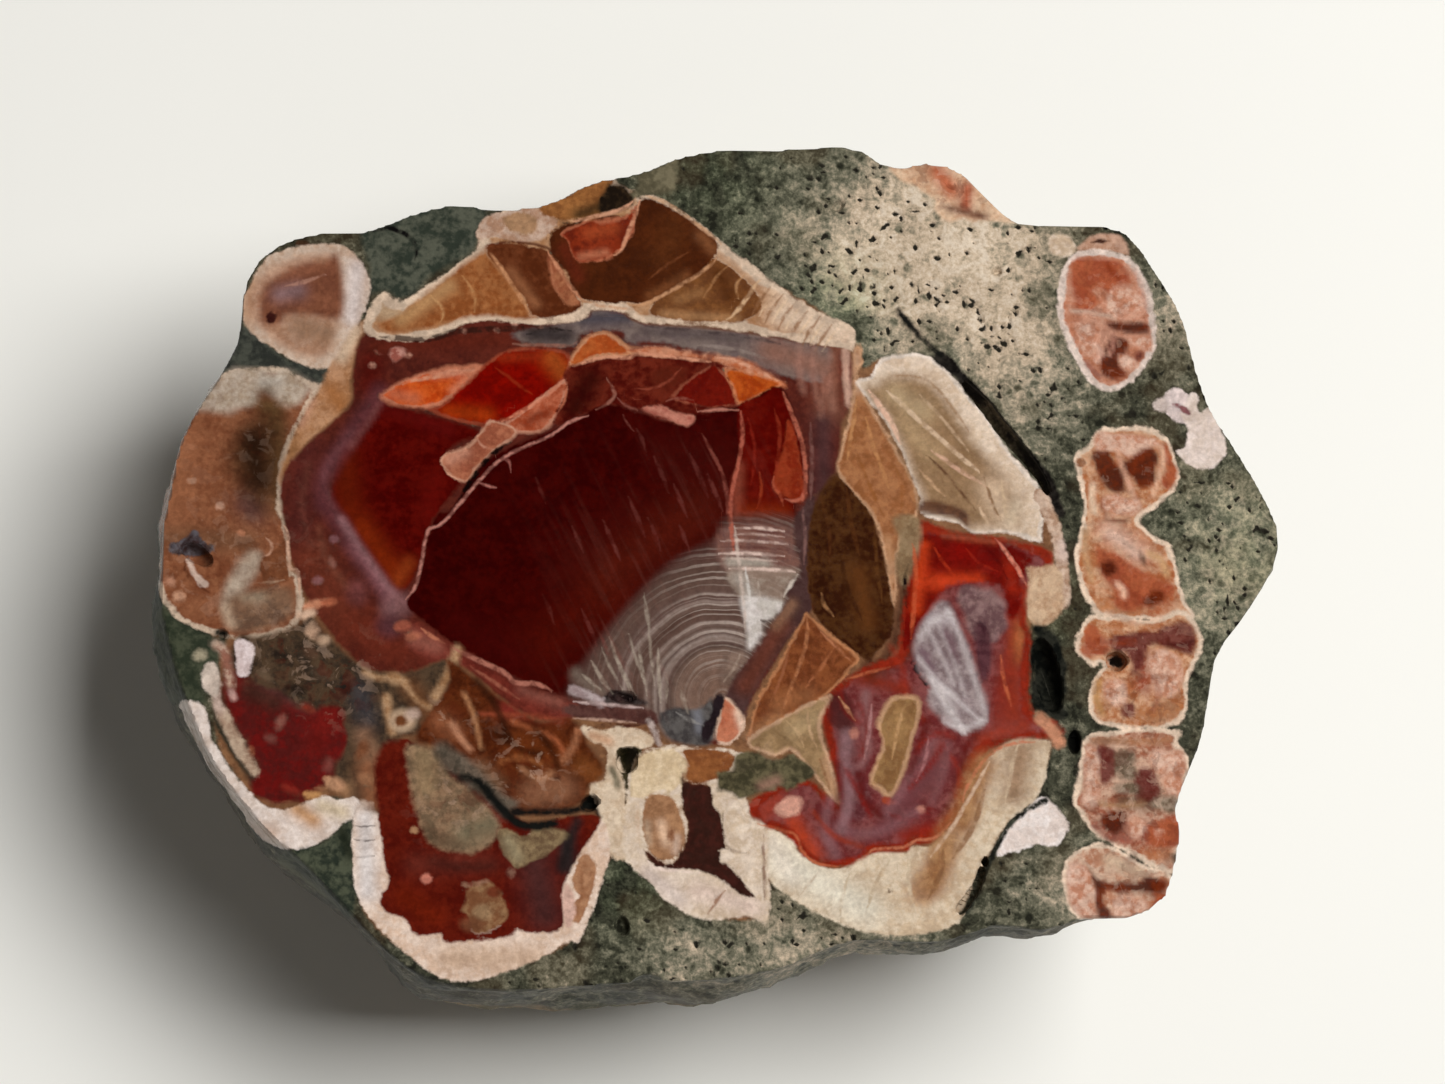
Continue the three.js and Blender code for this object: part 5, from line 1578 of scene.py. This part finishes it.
for number, layer in enumerate(layers):
    addField(f"edge{number}", layer["edge"])
    addField(f"colour{number}", layer["colour"])
    addField(f"second{number}", layer["second"])
for number, layer in enumerate(veinLayers):
    addField(f"veinSide{number}", layer["side"])
    addField(f"veinHalf{number}", layer["half"])
    addField(f"veinColour{number}", layer["colour"])
addField("gloss", glossy)
addField("pore", poreEdge)
addField("pale", paleness)
addField("green", amountNear(ground["green"]))
addField("streak", amountNear(ground["streaked"]) * glossy)
addField("busy", amountNear(ground["busy"]) * glossy)
addField("skin", skinEdge + ground["skinWander"] * wander)
rindEdge = depths - drawn["depth"] + ground["rindWander"] * wander
addField("weathered", blend(-ground["rindBlend"], ground["rindBlend"], rindEdge))
print("stony ground, pores and rind are laid out")


# Material
finish = {
    "polished": (0.09, 0.15),        # roughness of the polished cut, the stony ground and the rind
    "stony": 0.55,
    "rindRough": 0.85,
    "specular": 0.22,
    "sheen": 0.12,                   # how much of the bump the polished parts have
    "edgeWobble": 0.4,               # how far fine and middling noise move the edges of patches
    "edgeWander": 0.35,
    "veinSoft": 0.1,
    "bump": 0.35,
    "bumpDistance": 0.00025,         # m
    "grainScale": 2600.0,            # grains and pits for each metre
    "pitScale": 850.0,
    "noiseSizes": {"fine": 0.45, "middle": 1.5, "broad": 5.0, "dust": 0.3},
    # stony ground: tones from dark to pale, the darkest and how much pale places add to it, how much
    # middling, small and dust noise change it, and its brown and green places
    "stonyBase": 0.06,
    "stonyPale": 0.92,
    "stonyNoise": (1.0, 1.3, 0.9),
    "stonyBrown": ("#705438", 0.25),
    "stonyGreen": "#c4e8cc",
    "stonyTones": [(0.0, "#22221b"), (0.25, "#444437"), (0.46, "#706d5c"),
                   (0.64, "#9e927e"), (0.82, "#c6b29a"), (1.0, "#d6c6b2")],
    # radius of each band of the fan, and its colour
    "fanCentre": (0.6, -8.3),
    "fanReach": 12.0,
    "fanBands": [
        (0.0, "#765a4c"), (3.2, "#786054"), (3.7, "#58463e"), (3.95, "#56423c"),
        (4.2, "#86746c"), (4.4, "#94847c"), (4.6, "#62504a"), (4.85, "#88776f"),
        (5.1, "#5e4a42"), (5.4, "#7c6860"), (5.7, "#5c463e"), (6.3, "#543e36"),
        (6.75, "#68544c"), (7.0, "#928078"), (7.2, "#604a44"), (8.2, "#5c463e"),
        (9.4, "#58423a"), (10.4, "#50342e"), (11.5, "#401c16"),
    ],
    "arcScale": 34.0,
    "arcColour": "#b0a096",
    "fanMottle": ("#685046", 0.3),
    "fanBright": (3.4, -1.6),
    # fine straight streaks through the windows: lean in degrees, width and length in m
    "streakLean": 26.6,
    "streakSize": (0.0006, 0.008, 0.005),
    "streakColour": "#804e44",
    "darkKnots": ("#541a0c", 0.5),
    "paleKnots": ("#e0bca4", 0.32),
    "veinWobble": 0.5,
    "veinBreaks": 0.35,              # strength of a vein where it fades most
    # cloud over the polished parts, dust over everything, painted shade in the pores
    "cloud": ("#e2dedc", 0.8),
    "dustShade": "#ececec",
    "poreShade": "#26241e",
    # rind and the filled bubbles that show in it
    "rindTones": ("#46483c", "#686656"),
    "rindBrown": ("#705c44", 0.7),
    "rindPale": ("#a69c82", 0.6),
    "skinTones": ("#b49e84", "#9c8268"),
    "skinBrown": ("#88624a", 0.6),
}


def makeAgateMaterial():
    material = bpy.data.materials.new("agate")
    material.use_nodes = True
    tree = material.node_tree
    shader = tree.nodes["Principled BSDF"]

    def feed(socket, value):
        if isinstance(value, bpy.types.NodeSocket):
            tree.links.new(value, socket)
        elif isinstance(value, str):
            socket.default_value = (*linear(value), 1)
        else:
            socket.default_value = value

    def add(kind, inputs=(), **settings):
        node = tree.nodes.new("ShaderNode" + kind)
        for key, value in settings.items():
            setattr(node, key, value)
        for key, value in dict(inputs).items():
            feed(node.inputs[key], value)
        return node

    def field(name):
        return add("Attribute", attribute_name=name)

    def maths(operation, first, second=0.0, third=0.0):
        return add("Math", {0: first, 1: second, 2: third}, operation=operation).outputs[0]

    def ramp(value, fromLow, fromHigh, toLow=0.0, toHigh=1.0, smooth=True):
        kind = "SMOOTHSTEP" if smooth else "LINEAR"
        inputs = {"Value": value, "From Min": fromLow, "From Max": fromHigh, "To Min": toLow,
                  "To Max": toHigh}
        return add("MapRange", inputs, interpolation_type=kind).outputs["Result"]

    def mix(factor, under, over, kind="MIX"):
        return add("Mix", {0: factor, 6: under, 7: over}, data_type="RGBA", blend_type=kind).outputs[2]

    place = add("TexCoord").outputs["Object"]

    def noise(size, detail=3.0, rough=0.55, warp=0.0):
        inputs = {"Vector": place, "Scale": 1 / (size * millimetre), "Detail": detail,
                  "Roughness": rough, "Distortion": warp}
        return add("TexNoise", inputs).outputs["Fac"]

    def gradient(value, tones, reach):
        # a colour ramp from pairs of place and colour
        node = add("ValToRGB", {"Fac": value})
        stops = node.color_ramp.elements
        for count, (at, colour) in enumerate(tones):
            stop = stops[count] if count < 2 else stops.new(at / reach)
            stop.position = at / reach
            stop.color = (*linear(colour), 1)
        return node.outputs["Color"]

    sizes = finish["noiseSizes"]
    fine = noise(sizes["fine"])
    middle = noise(sizes["middle"])
    broad = noise(sizes["broad"], 2.0)
    mottle = ramp(maths("MULTIPLY_ADD", fine, 0.45, maths("MULTIPLY", middle, 0.55)), 0.4, 0.6)
    wobble = maths("MULTIPLY", maths("SUBTRACT", fine, 0.5), finish["edgeWobble"])
    wobble = maths("MULTIPLY_ADD", maths("SUBTRACT", middle, 0.5), finish["edgeWander"], wobble)

    # stony ground
    pale = field("pale").outputs["Fac"]
    grain = add("TexVoronoi", {"Vector": place, "Scale": finish["grainScale"]}).outputs["Color"]
    grain = add("SeparateColor", {"Color": grain}).outputs["Red"]
    pits = add("TexVoronoi", {"Vector": place, "Scale": finish["pitScale"]}).outputs["Distance"]
    dust = noise(sizes["dust"], 4.0, 0.7)
    speck = maths("MULTIPLY_ADD", grain, 0.25, maths("MULTIPLY", dust, 0.75))
    shade = maths("MULTIPLY_ADD", pale, finish["stonyPale"], finish["stonyBase"])
    for part, amount in zip((middle, noise(0.8, 4.0, 0.6, 0.8), dust), finish["stonyNoise"]):
        shade = maths("MULTIPLY_ADD", maths("SUBTRACT", part, 0.5), amount, shade)
    # painted shade in small pits of the stony ground, which the mesh does not press in
    pitShade = maths("MULTIPLY", ramp(pits, 0.36, 0.14), ramp(middle, 0.56, 0.44, 0.0, 0.35))
    shade = maths("SUBTRACT", shade, pitShade)
    rock = gradient(maths("DIVIDE", maths("ADD", shade, 0.2), 1.4), finish["stonyTones"], 1.0)
    brown, amount = finish["stonyBrown"]
    rock = mix(ramp(broad, 0.45, 0.6, 0.0, amount), rock, mix(0.5, rock, brown))
    greenish = maths("MULTIPLY", field("green").outputs["Fac"], ramp(middle, 0.35, 0.6, 0.3, 0.8))
    surface = mix(greenish, rock, mix(1.0, rock, finish["stonyGreen"], "MULTIPLY"))

    # the fan's bands around their middle
    zero = studio["drawnZero"]
    centre = [(finish["fanCentre"][i] - zero[i]) * millimetre for i in (0, 1)] + [faceHeight * millimetre]
    away = add("VectorMath", {0: place, 1: centre}, operation="DISTANCE").outputs["Value"]
    radius = maths("MULTIPLY_ADD", noise(2.2, 2.0), 0.5, maths("DIVIDE", away, millimetre))
    radius = maths("DIVIDE", maths("SUBTRACT", radius, 0.25), finish["fanReach"])
    fan = gradient(radius, finish["fanBands"], finish["fanReach"])
    tint, amount = finish["fanMottle"]
    fan = mix(maths("MULTIPLY", mottle, amount), fan, tint)
    inputs = {"W": maths("MULTIPLY", radius, finish["arcScale"]), "Scale": 1.0, "Detail": 2.0}
    arcs = add("TexNoise", inputs, noise_dimensions="1D").outputs["Fac"]
    bright = [(finish["fanBright"][i] - zero[i]) * millimetre for i in (0, 1)] + [faceHeight * millimetre]
    bright = add("VectorMath", {0: place, 1: bright}, operation="DISTANCE").outputs["Value"]
    arcs = maths("MULTIPLY", ramp(arcs, 0.48, 0.66), ramp(bright, 0.009, 0.002, 0.08, 0.75))
    fan = mix(arcs, fan, finish["arcColour"])

    # drawn patches, layer on layer
    for number in range(len(layers)):
        edge = maths("ADD", field(f"edge{number}").outputs["Fac"], wobble)
        first, second = field(f"colour{number}"), field(f"second{number}")
        soft = second.outputs["Alpha"]
        cover = ramp(edge, soft, maths("MULTIPLY", soft, -1.0))
        fill = mix(mottle, first.outputs["Color"], second.outputs["Color"])
        fill = mix(first.outputs["Alpha"], fill, fan)
        surface = mix(cover, surface, fill)

    broken = ramp(noise(0.8, 2.0), 0.38, 0.56, finish["veinBreaks"], 1.0)
    for number in range(len(veinLayers)):
        away = maths("ABSOLUTE", maths("ADD", field(f"veinSide{number}").outputs["Fac"],
                                       maths("MULTIPLY", wobble, finish["veinWobble"])))
        edge = maths("SUBTRACT", away, field(f"veinHalf{number}").outputs["Fac"])
        colour = field(f"veinColour{number}")
        cover = maths("MULTIPLY", ramp(edge, finish["veinSoft"], -finish["veinSoft"]),
                      colour.outputs["Alpha"])
        cover = maths("MULTIPLY", cover, broken)
        surface = mix(cover, surface, colour.outputs["Color"])

    # streaks, knots and cloud in the polished parts, then dust and painted shade in the pores over
    # everything
    gloss = field("gloss").outputs["Fac"]
    drift = add("Mapping", {"Vector": place, "Rotation": (0, 0, np.radians(finish["streakLean"])),
                            "Scale": finish["streakSize"]}, vector_type="TEXTURE").outputs["Vector"]
    drift = add("TexNoise", {"Vector": drift, "Scale": 1.0, "Detail": 2.0}).outputs["Fac"]
    streaks = maths("MULTIPLY", ramp(drift, 0.5, 0.72, 0.0, 0.4), field("streak").outputs["Fac"])
    surface = mix(streaks, surface, finish["streakColour"])
    knots = noise(1.2, 3.0, 0.6, 0.5)
    busy = field("busy").outputs["Fac"]
    for fromLow, fromHigh, kind in ((0.53, 0.60, "darkKnots"), (0.45, 0.38, "paleKnots")):
        tint, amount = finish[kind]
        cover = maths("MULTIPLY", busy, ramp(knots, fromLow, fromHigh, 0.0, amount))
        surface = mix(cover, surface, tint)
    shade, amount = finish["cloud"]
    cloud = mix(ramp(noise(0.9, 4.0, 0.65, 0.6), 0.32, 0.68), shade, "#ffffff")
    surface = mix(maths("MULTIPLY", gloss, amount), surface, mix(1.0, surface, cloud, "MULTIPLY"))
    tone = mix(ramp(dust, 0.3, 0.7), finish["dustShade"], "#ffffff")
    surface = mix(1.0, surface, tone, "MULTIPLY")
    # painted shade in the pores, over the dip that the mesh has there
    pore = ramp(maths("ADD", field("pore").outputs["Fac"], wobble), 0.06, -0.08)
    surface = mix(pore, surface, finish["poreShade"])

    # rind below the cut
    weathered = mix(mottle, *finish["rindTones"])
    tint, amount = finish["rindBrown"]
    weathered = mix(ramp(broad, 0.42, 0.62, 0.0, amount), weathered, tint)
    tint, amount = finish["rindPale"]
    weathered = mix(ramp(speck, 0.58, 0.68, 0.0, amount), weathered, tint)
    skin = mix(mottle, *finish["skinTones"])
    tint, amount = finish["skinBrown"]
    skin = mix(ramp(middle, 0.46, 0.68, 0.0, amount), skin, tint)
    skinCover = ramp(maths("ADD", field("skin").outputs["Fac"], wobble), 0.4, -0.6)
    skinCover = maths("MULTIPLY", skinCover, ramp(broad, 0.4, 0.6, 0.2, 0.85))
    weathered = mix(skinCover, weathered, skin)
    rind = field("weathered").outputs["Fac"]
    surface = mix(rind, surface, weathered)

    rough = ramp(middle, 0.4, 0.62, *finish["polished"])
    rough = ramp(gloss, 0.0, 1.0, finish["stony"], rough)
    rough = ramp(rind, 0.0, 1.0, rough, finish["rindRough"], smooth=False)
    relief = maths("MULTIPLY", maths("ADD", fine, grain), ramp(gloss, 0.0, 1.0, 1.0, 0.0))
    relief = maths("MULTIPLY_ADD", middle, finish["sheen"], relief)
    bump = add("Bump", {"Height": relief, "Strength": finish["bump"], "Distance": finish["bumpDistance"]})
    feed(shader.inputs["Base Color"], surface)
    feed(shader.inputs["Roughness"], rough)
    feed(shader.inputs["Normal"], bump.outputs["Normal"])
    shader.inputs["Specular IOR Level"].default_value = finish["specular"]
    return material


agate.data.materials.clear()
agate.data.materials.append(makeAgateMaterial())
print("agate material made")


# Map for the baked colours: the cut face large, the rind in a strip below it
bakeMap = {
    "top": (0.005, 0.28, 0.93),      # left, bottom and width of the cut face's part
    "side": (0.005, 0.005, 0.735, 0.265),
    "under": (0.75, 0.005, 0.245),
    "sideFill": 0.99,                # share of the strip's length that the side takes up
    "topDepth": 2.5,                 # mm from the top where faces that point up belong to the cut face
    "topFacing": 0.3,
    "underFacing": -0.8,
}


def addBakeMap():
    mesh = agate.data
    places = pointsOf(agate)
    corners = np.empty(len(mesh.loops), int)
    mesh.loops.foreach_get("vertex_index", corners)
    starts = np.empty(len(mesh.polygons), int)
    mesh.polygons.foreach_get("loop_start", starts)
    counts = np.empty(len(mesh.polygons), int)
    mesh.polygons.foreach_get("loop_total", counts)
    normals = np.empty(len(mesh.polygons) * 3)
    mesh.polygons.foreach_get("normal", normals)
    normals = normals.reshape(-1, 3)
    face = np.repeat(np.arange(len(counts)), counts)
    middles = np.add.reduceat(places[corners], starts) / counts[:, None]
    width, height = boxHigh.x - boxLow.x, boxHigh.z - boxLow.z
    flat = places[corners] - np.array(boxLow)
    left, bottom, size = bakeMap["top"]
    top = np.stack([left + flat[:, 0] / width * size, bottom + flat[:, 1] / width * size], 1)
    left, bottom, size = bakeMap["under"]
    under = np.stack([left + flat[:, 0] / width * size, bottom + flat[:, 1] / width * size], 1)
    left, bottom, size, tall = bakeMap["side"]
    angle = np.arctan2(places[corners, 1], places[corners, 0]) / (2 * np.pi) + 0.5
    faceAngle = (np.arctan2(middles[:, 1], middles[:, 0]) / (2 * np.pi) + 0.5)[face]
    angle += np.round(faceAngle - angle)
    side = np.stack([left + angle * size * bakeMap["sideFill"], bottom + flat[:, 2] / height * tall], 1)
    isTop = middles[face, 2] > boxHigh.z - bakeMap["topDepth"] * millimetre
    isTop &= normals[face, 2] > bakeMap["topFacing"]
    isUnder = normals[face, 2] < bakeMap["underFacing"]
    places = np.where(isTop[:, None], top, np.where(isUnder[:, None], under, side))
    layer = mesh.uv_layers.new(name="OFBake")
    layer.data.foreach_set("uv", np.clip(places, 0, 1).astype(np.float32).ravel())


addBakeMap()
bpy.ops.object.select_all(action="DESELECT")
agate.select_set(True)
bpy.context.view_layer.objects.active = agate
bpy.ops.object.shade_smooth_by_angle(angle=np.radians(stone["smoothBelow"]))
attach(agate, "root")
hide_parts("agate_nodule")
print("stone finished with", len(agate.data.loop_triangles), "triangles")
